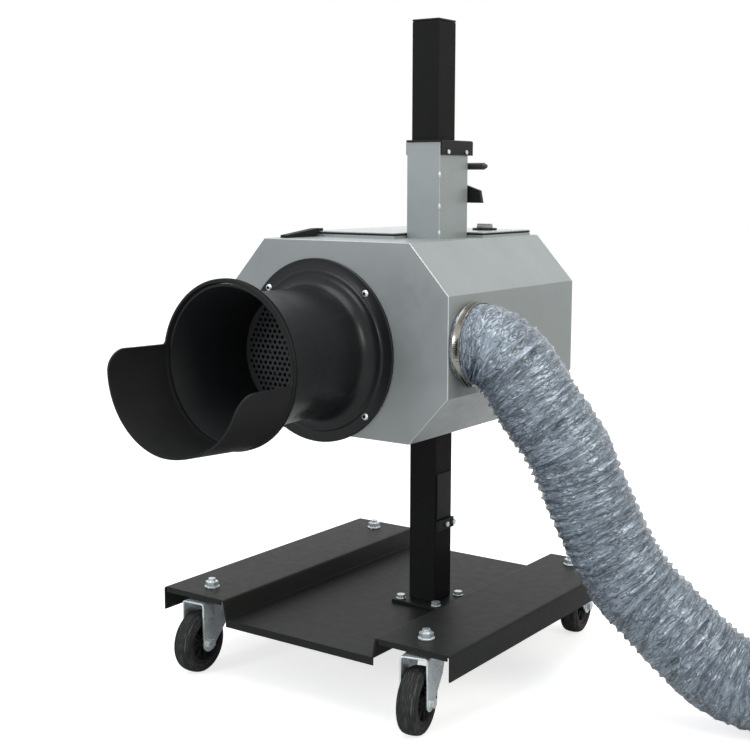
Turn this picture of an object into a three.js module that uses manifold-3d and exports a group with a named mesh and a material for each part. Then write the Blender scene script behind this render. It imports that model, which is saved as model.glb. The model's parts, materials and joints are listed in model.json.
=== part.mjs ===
import * as THREE from 'three';
import { mergeVertices } from 'three/addons/utils/BufferGeometryUtils.js';
import Module from 'manifold-3d';

const wasm = await Module();
wasm.setup();

// Mobile welding fume extractor: a fan housing with an intake hood that slides on a post on a wheeled tray.
// Lengths are millimetres. +Z is up, the hood faces minus Y and the exhaust duct leaves on the plus X side.
// Every piece is laid out from the post axis, and the whole is moved at the end so that the origin lies
// on the floor under the middle of the rigid part.

// Shared clearances
const SEAT_GAP = 0.3;
const RUNNING_GAP = 0.6;
const CUT_OVERRUN = 4;
const MERGE_TOLERANCE = 0.0005;

// Counts of facets
const LARGE_ROUND = 40;
const MEDIUM_ROUND = 18;
const SMALL_ROUND = 10;
const HEX = 6;
const BEND_STEPS = 2;

// Tray
const TRAY_WIDTH = 559;
const TRAY_LENGTH = 544;
const TRAY_SHEET = 2.5;
const TRAY_BEND_RADIUS = 3.2;
const TRAY_SHIFT_SHARE = 0.11807;
const TRAY_CENTRE_Y = -2.4;
const CHANNEL_SHARE = 0.23256;
const CHANNEL_RISE = 30.7;
const CHANNEL_LEAN = 5;
const TRAY_SIDE_LIP = 39;
const CHANNEL_END_LIP = 9;
const FLOOR_END_LIP = 12.5;

// Castors
const WHEEL_RADIUS = 50;
const TYRE_HALF_WIDTH = 16;
const RIM_RADIUS = 33;
const HUB_HALF_WIDTH = 18;
const HUB_COLLAR_RADIUS = 12;
const HUB_WEB_HALF_WIDTH = 5;
const HUB_RIM_HALF_WIDTH = 13.5;
const HUB_RIM_WALL = 5;
const CASTOR_TRAIL = 36;
const CASTOR_INSET_SHARE = 0.12165;
const CASTOR_INSET_Y = 42;
const AXLE_RADIUS = 5;
const AXLE_NUT_RADIUS = 8.6;
const AXLE_NUT_HEIGHT = 6.5;
const FORK_SHEET = 2.8;
const FORK_HALF_WIDTH = 22;
const FORK_TOP = 119.2;
const FORK_BEND_RADIUS = 4;
const FORK_TRAIL_EDGE = 50;
const FORK_LEAD_EDGE = 24;
const FORK_EYE_RADIUS = 14;
const FORK_EYE_START_ANGLE = 180;
const FORK_EYE_END_ANGLE = 330;
const FORK_EYE_STEPS = 5;
const RACE_RADIUS = 25;
const RACE_HEIGHT = 8.8;
const KINGPIN_RADIUS = 7;
const KINGPIN_HEAD_RADIUS = 11;
const KINGPIN_HEAD_HEIGHT = 3.6;
const STEM_RADIUS = 6;
const STEM_NUT_RADIUS = 11;
const STEM_NUT_HEIGHT = 8;
const STEM_WASHER_RADIUS = 12.4;
const STEM_WASHER_HEIGHT = 2;
const STEM_END = 5;
const CASTOR_ANGLES = { front_right: 12, front_left: 4, rear_right: 188, rear_left: 165 };

// Post and its foot
const POST_SIDE = 50;
const POST_WALL = 3;
const POST_LENGTH = 938;
const POST_CAP_HEIGHT = 3;
const POST_PLUG_DEPTH = 14;
const FOOT_PLATE_SIDE = 92;
const FOOT_PLATE_HEIGHT = 5;
const FOOT_BOLT_SPACING = 69;
const FOOT_BOLT_RADIUS = 4;
const FOOT_HEAD_RADIUS = 7.5;
const FOOT_HEAD_HEIGHT = 5.3;
const FOOT_WASHER_RADIUS = 8.6;
const FOOT_WASHER_HEIGHT = 1.6;

// Plate and stop block on the right face of the post
const STOP_PLATE_WIDTH = 42;
const STOP_PLATE_HEIGHT = 76;
const STOP_PLATE_SHEET = 1.5;
const STOP_PLATE_FOOT = 246;
const STOP_BLOCK_WIDTH = 47;
const STOP_BLOCK_HEIGHT = 17;
const STOP_BLOCK_DEPTH = 6;
const STOP_SCREW_SPACING = 20;
const STOP_SCREW_OFFSET = 10;
const STOP_SCREW_RADIUS = 4.6;
const STOP_SCREW_HEAD = 3.4;
const STOP_SCREW_SHANK_RADIUS = 2.5;

// Fan housing
const HOUSING_WIDTH = 418;
const HOUSING_HEIGHT = 303.5;
const HOUSING_DEPTH = 394;
const HOUSING_SHEET = 2;
const HOUSING_CHAMFER_X = 69;
const HOUSING_CHAMFER_Z = 75.5;
const HOUSING_CENTRE_X = -69.8;
const HOUSING_FRONT = -170.6;
const HOUSING_FOOT = 401.4;
const BULKHEAD_SETBACK = 128;

// Sleeve round the post
const SLEEVE_WIDTH = 62;
const SLEEVE_DEPTH = 83.8;
const SLEEVE_WALL = 2.7;
const SLEEVE_FRONT = -28.5;
const SLEEVE_DROP = 3;
const SLEEVE_RISE = 152;
const PAD_WIDTH = 46;
const PAD_HEIGHT = 44;
const PAD_INSET = 24;
const SLEEVE_CAP_SHEET = 3;
const SLEEVE_CAP_DROP = 20.5;
const SLEEVE_CAP_OVERHANG = 10;
const SLEEVE_CAP_FRONT_OVERHANG = 2;
const SLEEVE_FLANGE_SETBACK = 1.5;
const CAP_SCREW_DROP = 15.5;
const CAP_SCREW_FRONT_SHARE = 0.22;
const CAP_SCREW_BACK_SHARE = 0.86;
const CAP_SCREW_RADIUS = 3.6;
const CAP_SCREW_HEAD = 2.2;
const CAP_SCREW_SHANK_RADIUS = 2;

// Hand clamps at the back of the sleeve
const CLAMP_SCREW_RADIUS = 5;
const CLAMP_BOSS_RADIUS = 11;
const CLAMP_BOSS_DEPTH = 6;
const BAR_DROP = 37;
const BAR_RADIUS = 5.6;
const BAR_HALF_LENGTH = 55;
const BAR_TIP = 5;
const BAR_STANDOFF = 20;
const BAR_HUB_RADIUS = 9;
const WING_DROP = 85;
const WING_HALF_SPAN = 54;
const WING_THICKNESS = 7;
const WING_STANDOFF = 6.3;
const WING_HUB_RADIUS = 11;
const WING_RISE = 20;
const WING_TIP_RISE = 9;
const WING_FALL = 11;

// Lid, its gasket and strap, and the rotary switch
const LID_LEFT = 135.2;
const LID_RIGHT = 130;
const LID_FRONT = 110.6;
const LID_BACK = 9.2;
const LID_SHEET = 2;
const LID_RIM_HEIGHT = 4;
const GASKET_HEIGHT = 2.2;
const GASKET_WIDTH = 10;
const LID_SLEEVE_MARGIN = 3;
const STRAP_WIDTH = 14;
const STRAP_THICKNESS = 4;
const STRAP_LENGTH = 98;
const STRAP_LEFT_INSET = 8;
const STRAP_FRONT_RUN = 86;
const STRAP_EYE_RADIUS = 9;
const STRAP_EYE_HOLE = 4.5;
const SWITCH_RIGHT_INSET = 52.2;
const SWITCH_BACK_INSET = 64.2;
const SWITCH_BASE_RADIUS = 21;
const SWITCH_BASE_HEIGHT = 3;
const SWITCH_KNOB_RADIUS = 13.5;
const SWITCH_KNOB_HEIGHT = 7;
const SWITCH_GRIP_SHARE = 0.36;
const SWITCH_SHAFT_RADIUS = 3;

// Inlet: flange, throat and flared end, all turned about the fan axis
const INLET_SHIFT = 32.2;
const INLET_RISE = 130.6;
const FLANGE_BRIM = 20;
const FLANGE_THICKNESS = 4;
const STEP_MARGIN = 2;
const STEP_HEIGHT = 3.5;
const THROAT_RADIUS = 101;
const THROAT_WALL = 4;
const THROAT_FILLET = 22;
const THROAT_LENGTH = 119;
const FLARE_RADIUS = 118.5;
const FLARE_LENGTH = 90;
const FLANGE_SCREW_INSET = 11;
const FLANGE_SCREW_RADIUS = 5.2;
const FLANGE_SCREW_HEAD = 3.4;
const FLANGE_SCREW_SHANK = 2.5;
const GRILLE_SETBACK = 57;
const GRILLE_SHEET = 2;
const GRILLE_PITCH = 24;
const GRILLE_HOLE_SHARE = 0.8;
const GRILLE_BORDER = 9;

// Hood on the flared end
const HOOD_WALL = 4.7;
const HOOD_SHELL = 3.5;
const HOOD_OVERLAP = 8;
const HOOD_RING_LENGTH = 14;
const HOOD_BEAD = 2;
const HOOD_BEAD_WIDTH = 3;
const SCOOP_LENGTH = 119.7;
const SCOOP_TAPER = 6.7;
const SCOOP_RISE = 7.1;
const SCOOP_LIFT = 4.2;
const SCOOP_CORNER = 31;
const SCOOP_ROOT_CORNER = 5;
const HOOD_ANGLE = 7.6;

// Fan
const MOTOR_RADIUS = 60;
const MOTOR_LENGTH = 96;
const MOTOR_RIB_COUNT = 12;
const MOTOR_RIB_HEIGHT = 4;
const MOTOR_RIB_WIDTH = 3;
const SHAFT_RADIUS = 8;
const SHAFT_REACH = 30;
const IMPELLER_RADIUS = 118;
const IMPELLER_EYE = 74;
const IMPELLER_DEPTH = 92;
const IMPELLER_SETBACK = 22;
const IMPELLER_SHEET = 3;
const IMPELLER_HUB = 22;
const IMPELLER_HUB_LENGTH = 26;
const BLADE_COUNT = 9;
const BLADE_THICKNESS = 3;
const BLADE_SWEEP_ANGLE = 34;
const BLADE_STEPS = 3;
const BULKHEAD_HOLE = 26;

// Outlet and its clamp
const OUTLET_SETBACK = 63.6;
const OUTLET_RISE = 151.6;
const SPIGOT_RADIUS = 57;
const SPIGOT_WALL = 1.5;
const SPIGOT_REACH = 18;
const SPIGOT_FLANGE_RADIUS = 60.2;
const CLAMP_BAND_START = 4;
const CLAMP_BAND_WIDTH = 12;
const CLAMP_BAND_SHEET = 1.2;
const CLAMP_WORM_LENGTH = 22;
const CLAMP_WORM_DEPTH = 9;

// Exhaust duct: eight points a ring, given by the circle through its corners. Each point of its route is
// a reach from the side of the housing, a shift back from the outlet and a share of the way up from where
// the duct lies on the floor to the outlet.
const DUCT_POINTS = 8;
const DUCT_BORE = 62.2;
const DUCT_WALL = 1;
const DUCT_RIB_HEIGHT = 3.8;
const DUCT_CUFF = 17;
const DUCT_OPEN_PITCH = 14.5;
const DUCT_CLOSED_PITCH = 9;
const DUCT_OPEN_LENGTH = 760;
const DUCT_BORE_EVERY = 5;
const DUCT_SAMPLES = 1500;
const DUCT_REST = 67.5;
const DUCT_ROUTE = [
  [0.8, 0, 1],
  [10.8, 0, 1],
  [21.8, 0, 1],
  [34.8, 0.4, 0.9951],
  [49.8, 2, 0.9806],
  [64.8, 4, 0.9578],
  [75.8, 6.5, 0.931],
  [86.8, 9.5, 0.897],
  [98.8, 13.5, 0.8579],
  [112.8, 19, 0.8105],
  [130.8, 27, 0.7528],
  [150.8, 35.5, 0.6807],
  [169.8, 45, 0.5819],
  [190.8, 54, 0.4789],
  [212.8, 62.5, 0.3841],
  [241.8, 71.5, 0.2894],
  [284.8, 84.5, 0.1946],
  [319.8, 95, 0.1226],
  [351.8, 104.5, 0.0649],
  [384.8, 114.5, 0.0237],
  [416.8, 125, 0.0051],
  [450.8, 137, 0.0006],
  [485.8, 153, 0],
  [517.8, 174, 0],
  [561.8, 227, 0],
  [585.8, 292, 0],
  [585.8, 362, 0],
  [561.8, 427, 0],
  [517.8, 480, 0],
  [488.4, 497.1, 0],
  [440.1, 525.3, 0],
  [383.9, 558.1, 0],
];

// Heights and places that follow from the sizes above
const KINGPIN_FOOT = FORK_TOP - FORK_SHEET - SEAT_GAP;
const RACE_TOP = FORK_TOP + SEAT_GAP + RACE_HEIGHT;
const TRAY_TOP = RACE_TOP + SEAT_GAP + TRAY_SHEET;
const TRAY_FLOOR = TRAY_TOP - CHANNEL_RISE;
const TRAY_CENTRE_X = -TRAY_WIDTH * TRAY_SHIFT_SHARE;
const CHANNEL_WIDTH = TRAY_WIDTH * CHANNEL_SHARE;
const CASTOR_INSET_X = TRAY_WIDTH * CASTOR_INSET_SHARE;
const TRAY_LEFT = TRAY_CENTRE_X - TRAY_WIDTH / 2;
const TRAY_RIGHT = TRAY_CENTRE_X + TRAY_WIDTH / 2;
const TRAY_FRONT = TRAY_CENTRE_Y - TRAY_LENGTH / 2;
const TRAY_BACK = TRAY_CENTRE_Y + TRAY_LENGTH / 2;
const FOOT_PLATE_TOP = TRAY_FLOOR + SEAT_GAP + FOOT_PLATE_HEIGHT;
const POST_FOOT = FOOT_PLATE_TOP + SEAT_GAP;
const POST_TOP = POST_FOOT + POST_LENGTH;
const POST_HALF = POST_SIDE / 2;
const HOUSING_LEFT = HOUSING_CENTRE_X - HOUSING_WIDTH / 2;
const HOUSING_RIGHT = HOUSING_CENTRE_X + HOUSING_WIDTH / 2;
const HOUSING_BACK = HOUSING_FRONT + HOUSING_DEPTH;
const HOUSING_TOP = HOUSING_FOOT + HOUSING_HEIGHT;
const INLET_X = HOUSING_CENTRE_X - INLET_SHIFT;
const INLET_Z = HOUSING_FOOT + INLET_RISE;
const OUTLET_Y = HOUSING_FRONT + OUTLET_SETBACK;
const OUTLET_Z = HOUSING_FOOT + OUTLET_RISE;
const WRAP_FRONT = HOUSING_FRONT + HOUSING_SHEET + SEAT_GAP;
const WRAP_BACK = HOUSING_BACK - HOUSING_SHEET - SEAT_GAP;
const BULKHEAD_FRONT = HOUSING_FRONT + BULKHEAD_SETBACK;
const BULKHEAD_BACK = BULKHEAD_FRONT + HOUSING_SHEET;
const SLEEVE_BACK = SLEEVE_FRONT + SLEEVE_DEPTH;
const SLEEVE_FOOT = HOUSING_FOOT - SLEEVE_DROP;
const SLEEVE_TOP = HOUSING_TOP + SLEEVE_RISE;
const SLEEVE_HALF = SLEEVE_WIDTH / 2;
const CAP_UNDERSIDE = SLEEVE_TOP + SEAT_GAP;
const BAR_Z = SLEEVE_TOP - BAR_DROP;
const WING_Z = SLEEVE_TOP - WING_DROP;
const SWITCH_X = HOUSING_CENTRE_X + LID_RIGHT - SWITCH_RIGHT_INSET;
const SWITCH_Y = HOUSING_BACK - LID_BACK - SWITCH_BACK_INSET;
const LID_RIM_TOP = HOUSING_TOP + LID_RIM_HEIGHT;
const GASKET_TOP = LID_RIM_TOP + SEAT_GAP + GASKET_HEIGHT;
const LID_TOP = GASKET_TOP + SEAT_GAP + LID_SHEET;
const STEP_RADIUS = THROAT_RADIUS + THROAT_FILLET + STEP_MARGIN;
const FLANGE_RADIUS = STEP_RADIUS + FLANGE_BRIM;
const FLANGE_SCREW_CIRCLE = FLANGE_RADIUS - FLANGE_SCREW_INSET;
const FLANGE_BACK = HOUSING_FRONT - SEAT_GAP;
const FLANGE_FRONT = FLANGE_BACK - FLANGE_THICKNESS;
const STEP_FRONT = FLANGE_FRONT - STEP_HEIGHT;
const FLARE_START = HOUSING_FRONT - THROAT_LENGTH;
const FLARE_END = FLARE_START - FLARE_LENGTH;
const HOOD_BACK = FLARE_END + HOOD_OVERLAP;
const MOUTH = HOOD_BACK - HOOD_RING_LENGTH;
const SCOOP_FRONT = MOUTH - SCOOP_LENGTH;
const HOOD_INNER = FLARE_RADIUS + RUNNING_GAP;
const HOOD_OUTER = HOOD_INNER + HOOD_WALL;

// Materials
function paint(color, roughness, metalness) {
  return new THREE.MeshStandardMaterial({ color, roughness, metalness });
}

const SILVER_PAINT = paint(0x9a9fa0, 0.42, 0.35);
const BLACK_PAINT = paint(0x26282a, 0.45, 0.1);
const ZINC = paint(0xc2c6c9, 0.3, 0.9);
const TYRE_RUBBER = paint(0x2e3032, 0.8, 0);
const BLACK_PLASTIC = paint(0x1d1e1f, 0.55, 0);
const BLACK_MOULDING = paint(0x1c1d1f, 0.38, 0);
const HOOD_RUBBER = paint(0x1a1a1a, 0.7, 0);
const GREY_PLASTIC = paint(0x8d9190, 0.5, 0);
const NYLON = paint(0xd8d6cc, 0.5, 0);
const MOTOR_CASTING = paint(0x70757a, 0.5, 0.6);
const IMPELLER_SHEET_METAL = paint(0xa9adb0, 0.4, 0.8);
const POLISHED_STEEL = paint(0xd2d4d6, 0.18, 1);
const DUCT_CLOTH = paint(0x7d828b, 0.45, 0.25);

// Solids from geometry, and geometry from solids
function solidOf(geometry) {
  const bare = geometry.clone();
  bare.deleteAttribute('normal');
  bare.deleteAttribute('uv');
  const merged = mergeVertices(bare, MERGE_TOLERANCE);
  const mesh = new wasm.Mesh({
    numProp: 3,
    vertProperties: new Float32Array(merged.attributes.position.array),
    triVerts: new Uint32Array(merged.index.array),
  });
  return new wasm.Manifold(mesh);
}

function geometryOf(solid) {
  const mesh = solid.getMesh();
  const geometry = new THREE.BufferGeometry();
  geometry.setAttribute('position', new THREE.BufferAttribute(new Float32Array(mesh.vertProperties), 3));
  geometry.setIndex(new THREE.BufferAttribute(new Uint32Array(mesh.triVerts), 1));
  geometry.computeVertexNormals();
  return geometry;
}

function join(...geometries) {
  return geometryOf(geometries.map(solidOf).reduce((whole, piece) => whole.add(piece)));
}

function cut(body, ...tools) {
  return geometryOf(tools.map(solidOf).reduce((whole, tool) => whole.subtract(tool), solidOf(body)));
}

function common(body, ...tools) {
  return geometryOf(tools.map(solidOf).reduce((whole, tool) => whole.intersect(tool), solidOf(body)));
}

// Basic forms
function boxBetween(low, high) {
  const size = high.map((value, axis) => value - low[axis]);
  const middle = high.map((value, axis) => (value + low[axis]) / 2);
  return new THREE.BoxGeometry(...size).translate(...middle);
}

function rodY(radius, from, to, facets, x = 0, z = 0) {
  return new THREE.CylinderGeometry(radius, radius, to - from, facets).translate(x, (from + to) / 2, z);
}

function rodZ(radius, from, to, facets, x = 0, y = 0) {
  const rod = new THREE.CylinderGeometry(radius, radius, to - from, facets).rotateX(Math.PI / 2);
  return rod.translate(x, y, (from + to) / 2);
}

function rodX(radius, from, to, facets, y = 0, z = 0) {
  const rod = new THREE.CylinderGeometry(radius, radius, to - from, facets).rotateZ(Math.PI / 2);
  return rod.translate((from + to) / 2, y, z);
}

function shapeOf(points, holes = []) {
  const shape = new THREE.Shape(points.map(([a, b]) => new THREE.Vector2(a, b)));
  shape.holes = holes.map((hole) => new THREE.Path(hole.map(([a, b]) => new THREE.Vector2(a, b))));
  return shape;
}

function prism(shape, length) {
  return new THREE.ExtrudeGeometry(shape, { depth: length, bevelEnabled: false, steps: 1 });
}

// Outline in X and Y, standing from one height to another
function standing(points, from, to, holes) {
  return prism(shapeOf(points, holes), to - from).translate(0, 0, from);
}

// Outline in X and Z, running along Y
function alongY(points, from, to, holes) {
  return prism(shapeOf(points, holes), to - from).rotateX(Math.PI / 2).translate(0, to, 0);
}

// Outline in Y and Z, running along X
function alongX(points, from, to, holes) {
  const turn = new THREE.Matrix4().makeBasis(
    new THREE.Vector3(0, 1, 0),
    new THREE.Vector3(0, 0, 1),
    new THREE.Vector3(1, 0, 0),
  );
  return prism(shapeOf(points, holes), to - from).applyMatrix4(turn).translate(from, 0, 0);
}

function signedVolume(geometry) {
  const flat = geometry.index ? geometry.toNonIndexed() : geometry;
  const place = flat.attributes.position;
  const [a, b, c] = [new THREE.Vector3(), new THREE.Vector3(), new THREE.Vector3()];
  let sum = 0;
  for (let corner = 0; corner < place.count; corner += 3) {
    a.fromBufferAttribute(place, corner);
    b.fromBufferAttribute(place, corner + 1);
    c.fromBufferAttribute(place, corner + 2);
    sum += a.dot(b.cross(c));
  }
  return sum;
}

// Closed outline of radius and distance along the Y axis, turned about that axis
function turned(profile, facets) {
  const closed = [...profile, profile[0]].map(([radius, along]) => new THREE.Vector2(radius, along));
  const ring = new THREE.LatheGeometry(closed, facets);
  if (signedVolume(ring) < 0) ring.scale(-1, 1, 1).index.array.reverse();
  return signedVolume(ring) < 0 ? new THREE.LatheGeometry(closed.reverse(), facets) : ring;
}

function disc(radius, facets, x = 0, y = 0) {
  return Array.from({ length: facets }, (_, step) => {
    const angle = (2 * Math.PI * step) / facets;
    return [x + radius * Math.cos(angle), y + radius * Math.sin(angle)];
  });
}

function rectangle(left, right, low, high) {
  return [[left, low], [right, low], [right, high], [left, high]];
}

// Corner arc about a centre, from one angle to another in degrees
function arc(x, y, radius, from, to, steps) {
  return Array.from({ length: steps + 1 }, (_, step) => {
    const angle = THREE.MathUtils.degToRad(from + ((to - from) * step) / steps);
    return [x + radius * Math.cos(angle), y + radius * Math.sin(angle)];
  });
}

// Path with its inner corners rounded to a bend radius
function roundedPath(points, radius) {
  const path = points.map(([a, b]) => new THREE.Vector2(a, b));
  return path.flatMap((corner, place) => {
    if (place === 0 || place === path.length - 1) return [corner];
    const back = path[place - 1].clone().sub(corner).normalize();
    const ahead = path[place + 1].clone().sub(corner).normalize();
    const half = Math.acos(THREE.MathUtils.clamp(back.dot(ahead), -1, 1)) / 2;
    const reach = radius / Math.tan(half);
    const inward = back.clone().add(ahead).normalize();
    const centre = corner.clone().addScaledVector(inward, radius / Math.sin(half));
    const start = corner.clone().addScaledVector(back, reach).sub(centre);
    const end = corner.clone().addScaledVector(ahead, reach).sub(centre);
    const sweep = Math.atan2(start.cross(end), start.dot(end));
    return Array.from({ length: BEND_STEPS + 1 }, (_, step) =>
      start.clone().rotateAround(new THREE.Vector2(), (sweep * step) / BEND_STEPS).add(centre));
  });
}

// Outline of a bent sheet whose middle follows a path
function bentSheet(points, thickness, radius) {
  const path = roundedPath(points, radius);
  const normals = path.map((point, place) => {
    const before = path[Math.max(place - 1, 0)];
    const after = path[Math.min(place + 1, path.length - 1)];
    const first = point.clone().sub(before);
    const second = after.clone().sub(point);
    if (first.length() === 0) first.copy(second);
    if (second.length() === 0) second.copy(first);
    const mean = first.clone().normalize().add(second.clone().normalize()).normalize();
    const spread = mean.dot(first.clone().normalize());
    return new THREE.Vector2(-mean.y, mean.x).divideScalar(spread);
  });
  const side = (sign) => path.map((point, place) =>
    point.clone().addScaledVector(normals[place], (sign * thickness) / 2));
  return [...side(1), ...side(-1).reverse()].map((point) => [point.x, point.y]);
}

// Scene graph
const root = new THREE.Group();
const trolley = new THREE.Group();
const carriage = new THREE.Group();
root.add(trolley, carriage);

function place(parent, name, geometry, material) {
  const mesh = new THREE.Mesh(geometry, material);
  mesh.name = name;
  parent.add(mesh);
  return mesh;
}

// Tray: one folded sheet with a channel at each side, and short lips across both ends
const CASTOR_X = [TRAY_LEFT + CASTOR_INSET_X, TRAY_RIGHT - CASTOR_INSET_X];
const CASTOR_Y = [TRAY_FRONT + CASTOR_INSET_Y, TRAY_BACK - CASTOR_INSET_Y];

function trayProfile() {
  const half = TRAY_SHEET / 2;
  const lipFoot = TRAY_TOP - TRAY_SIDE_LIP;
  const right = [
    [TRAY_RIGHT - CHANNEL_WIDTH - CHANNEL_LEAN, TRAY_FLOOR - half],
    [TRAY_RIGHT - CHANNEL_WIDTH, TRAY_TOP - half],
    [TRAY_RIGHT - half, TRAY_TOP - half],
    [TRAY_RIGHT - half, lipFoot],
  ];
  const left = right.map(([x, z]) => [2 * TRAY_CENTRE_X - x, z]).reverse();
  return bentSheet([...left, ...right], TRAY_SHEET, TRAY_BEND_RADIUS);
}

function endLips(from, to) {
  const floorHalf = TRAY_WIDTH / 2 - CHANNEL_WIDTH - CHANNEL_LEAN;
  const channelInset = TRAY_SHEET + TRAY_BEND_RADIUS;
  const lips = [boxBetween(
    [TRAY_CENTRE_X - floorHalf, from, TRAY_FLOOR - FLOOR_END_LIP],
    [TRAY_CENTRE_X + floorHalf, to, TRAY_FLOOR - TRAY_SHEET / 2],
  )];
  for (const left of [TRAY_LEFT, TRAY_RIGHT - CHANNEL_WIDTH]) {
    lips.push(boxBetween(
      [left + channelInset, from, TRAY_TOP - CHANNEL_END_LIP],
      [left + CHANNEL_WIDTH - channelInset, to, TRAY_TOP - TRAY_SHEET / 2],
    ));
  }
  return lips;
}

function tray() {
  const sheet = join(
    alongY(trayProfile(), TRAY_FRONT, TRAY_BACK),
    ...endLips(TRAY_FRONT, TRAY_FRONT + TRAY_SHEET),
    ...endLips(TRAY_BACK - TRAY_SHEET, TRAY_BACK),
  );
  const stemHoles = CASTOR_X.flatMap((x) => CASTOR_Y.map((y) =>
    rodZ(STEM_RADIUS + SEAT_GAP, RACE_TOP, TRAY_TOP + CUT_OVERRUN, SMALL_ROUND, x, y)));
  const boltHoles = footBoltPlaces().map(([x, y]) =>
    rodZ(FOOT_BOLT_RADIUS + SEAT_GAP, TRAY_FLOOR - CUT_OVERRUN, TRAY_FLOOR + CUT_OVERRUN, SMALL_ROUND, x, y));
  return cut(sheet, ...stemHoles, ...boltHoles);
}

function footBoltPlaces() {
  const half = FOOT_BOLT_SPACING / 2;
  return [[-half, -half], [half, -half], [half, half], [-half, half]];
}

function footPlate() {
  const half = FOOT_PLATE_SIDE / 2;
  const holes = footBoltPlaces().map(([x, y]) => disc(FOOT_BOLT_RADIUS + SEAT_GAP, SMALL_ROUND, x, y));
  return standing(rectangle(-half, half, -half, half), TRAY_FLOOR + SEAT_GAP, FOOT_PLATE_TOP, holes);
}

function footBolt(x, y) {
  const washerFoot = FOOT_PLATE_TOP + SEAT_GAP;
  const headFoot = washerFoot + FOOT_WASHER_HEIGHT;
  return join(
    rodZ(FOOT_WASHER_RADIUS, washerFoot, headFoot, SMALL_ROUND, x, y),
    rodZ(FOOT_HEAD_RADIUS, headFoot - SEAT_GAP, headFoot + FOOT_HEAD_HEIGHT, HEX, x, y),
    rodZ(FOOT_BOLT_RADIUS, TRAY_FLOOR - TRAY_SHEET, headFoot, SMALL_ROUND, x, y),
  );
}

function post() {
  const bore = POST_HALF - POST_WALL;
  return standing(
    rectangle(-POST_HALF, POST_HALF, -POST_HALF, POST_HALF),
    POST_FOOT,
    POST_TOP,
    [rectangle(-bore, bore, -bore, bore)],
  );
}

function postCap() {
  const plug = POST_HALF - POST_WALL - SEAT_GAP;
  const seat = POST_TOP + SEAT_GAP;
  return join(
    boxBetween([-POST_HALF, -POST_HALF, seat], [POST_HALF, POST_HALF, seat + POST_CAP_HEIGHT]),
    boxBetween([-plug, -plug, POST_TOP - POST_PLUG_DEPTH], [plug, plug, seat + SEAT_GAP]),
  );
}

const STOP_FACE = POST_HALF + SEAT_GAP;
const STOP_BLOCK_TOP = STOP_PLATE_FOOT - SEAT_GAP - STOP_PLATE_SHEET;

function stopPlate() {
  return boxBetween(
    [STOP_FACE, -STOP_PLATE_WIDTH / 2, STOP_PLATE_FOOT],
    [STOP_FACE + STOP_PLATE_SHEET, STOP_PLATE_WIDTH / 2, STOP_PLATE_FOOT + STOP_PLATE_HEIGHT],
  );
}

function stopScrewPlaces() {
  const z = STOP_BLOCK_TOP - STOP_BLOCK_HEIGHT / 2;
  return [[STOP_SCREW_OFFSET - STOP_SCREW_SPACING / 2, z], [STOP_SCREW_OFFSET + STOP_SCREW_SPACING / 2, z]];
}

function stopBlock() {
  const half = STOP_BLOCK_WIDTH / 2;
  const outline = rectangle(-half, half, STOP_BLOCK_TOP - STOP_BLOCK_HEIGHT, STOP_BLOCK_TOP);
  const holeRadius = STOP_SCREW_SHANK_RADIUS + SEAT_GAP;
  const holes = stopScrewPlaces().map(([y, z]) => disc(holeRadius, SMALL_ROUND, y, z));
  return alongX(outline, STOP_FACE, STOP_FACE + STOP_BLOCK_DEPTH, holes);
}

function stopScrew(y, z) {
  const seat = STOP_FACE + STOP_BLOCK_DEPTH + SEAT_GAP;
  return join(
    rodX(STOP_SCREW_RADIUS, seat, seat + STOP_SCREW_HEAD, SMALL_ROUND, y, z),
    rodX(STOP_SCREW_SHANK_RADIUS, STOP_FACE, seat + STOP_SCREW_HEAD / 2, SMALL_ROUND, y, z),
  );
}

// Castor, drawn with its stem on the Z axis and its wheel trailing towards minus Y
function castorMount() {
  const washerFoot = TRAY_TOP + SEAT_GAP;
  const nutFoot = washerFoot + STEM_WASHER_HEIGHT;
  const nutTop = nutFoot + STEM_NUT_HEIGHT;
  return join(
    rodZ(STEM_WASHER_RADIUS, washerFoot, nutFoot + SEAT_GAP, MEDIUM_ROUND),
    rodZ(STEM_NUT_RADIUS, nutFoot, nutTop, HEX),
    rodZ(STEM_RADIUS, RACE_TOP - SEAT_GAP, nutTop + STEM_END, SMALL_ROUND),
    rodZ(RACE_RADIUS, FORK_TOP + SEAT_GAP, RACE_TOP, MEDIUM_ROUND),
    rodZ(KINGPIN_RADIUS, KINGPIN_FOOT - KINGPIN_HEAD_HEIGHT / 2, RACE_TOP, SMALL_ROUND),
    rodZ(KINGPIN_HEAD_RADIUS, KINGPIN_FOOT - KINGPIN_HEAD_HEIGHT, KINGPIN_FOOT, SMALL_ROUND),
  );
}

function forkSideOutline() {
  const eyeFoot = WHEEL_RADIUS - FORK_EYE_RADIUS;
  const eye = arc(-CASTOR_TRAIL, WHEEL_RADIUS, FORK_EYE_RADIUS, FORK_EYE_START_ANGLE,
    FORK_EYE_END_ANGLE, FORK_EYE_STEPS);
  return [
    [FORK_LEAD_EDGE, FORK_TOP + CUT_OVERRUN],
    [-FORK_TRAIL_EDGE, FORK_TOP + CUT_OVERRUN],
    ...eye,
    [FORK_LEAD_EDGE / 2, (eyeFoot + FORK_TOP) / 2],
    [FORK_LEAD_EDGE, FORK_TOP - FORK_EYE_RADIUS],
  ];
}

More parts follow.
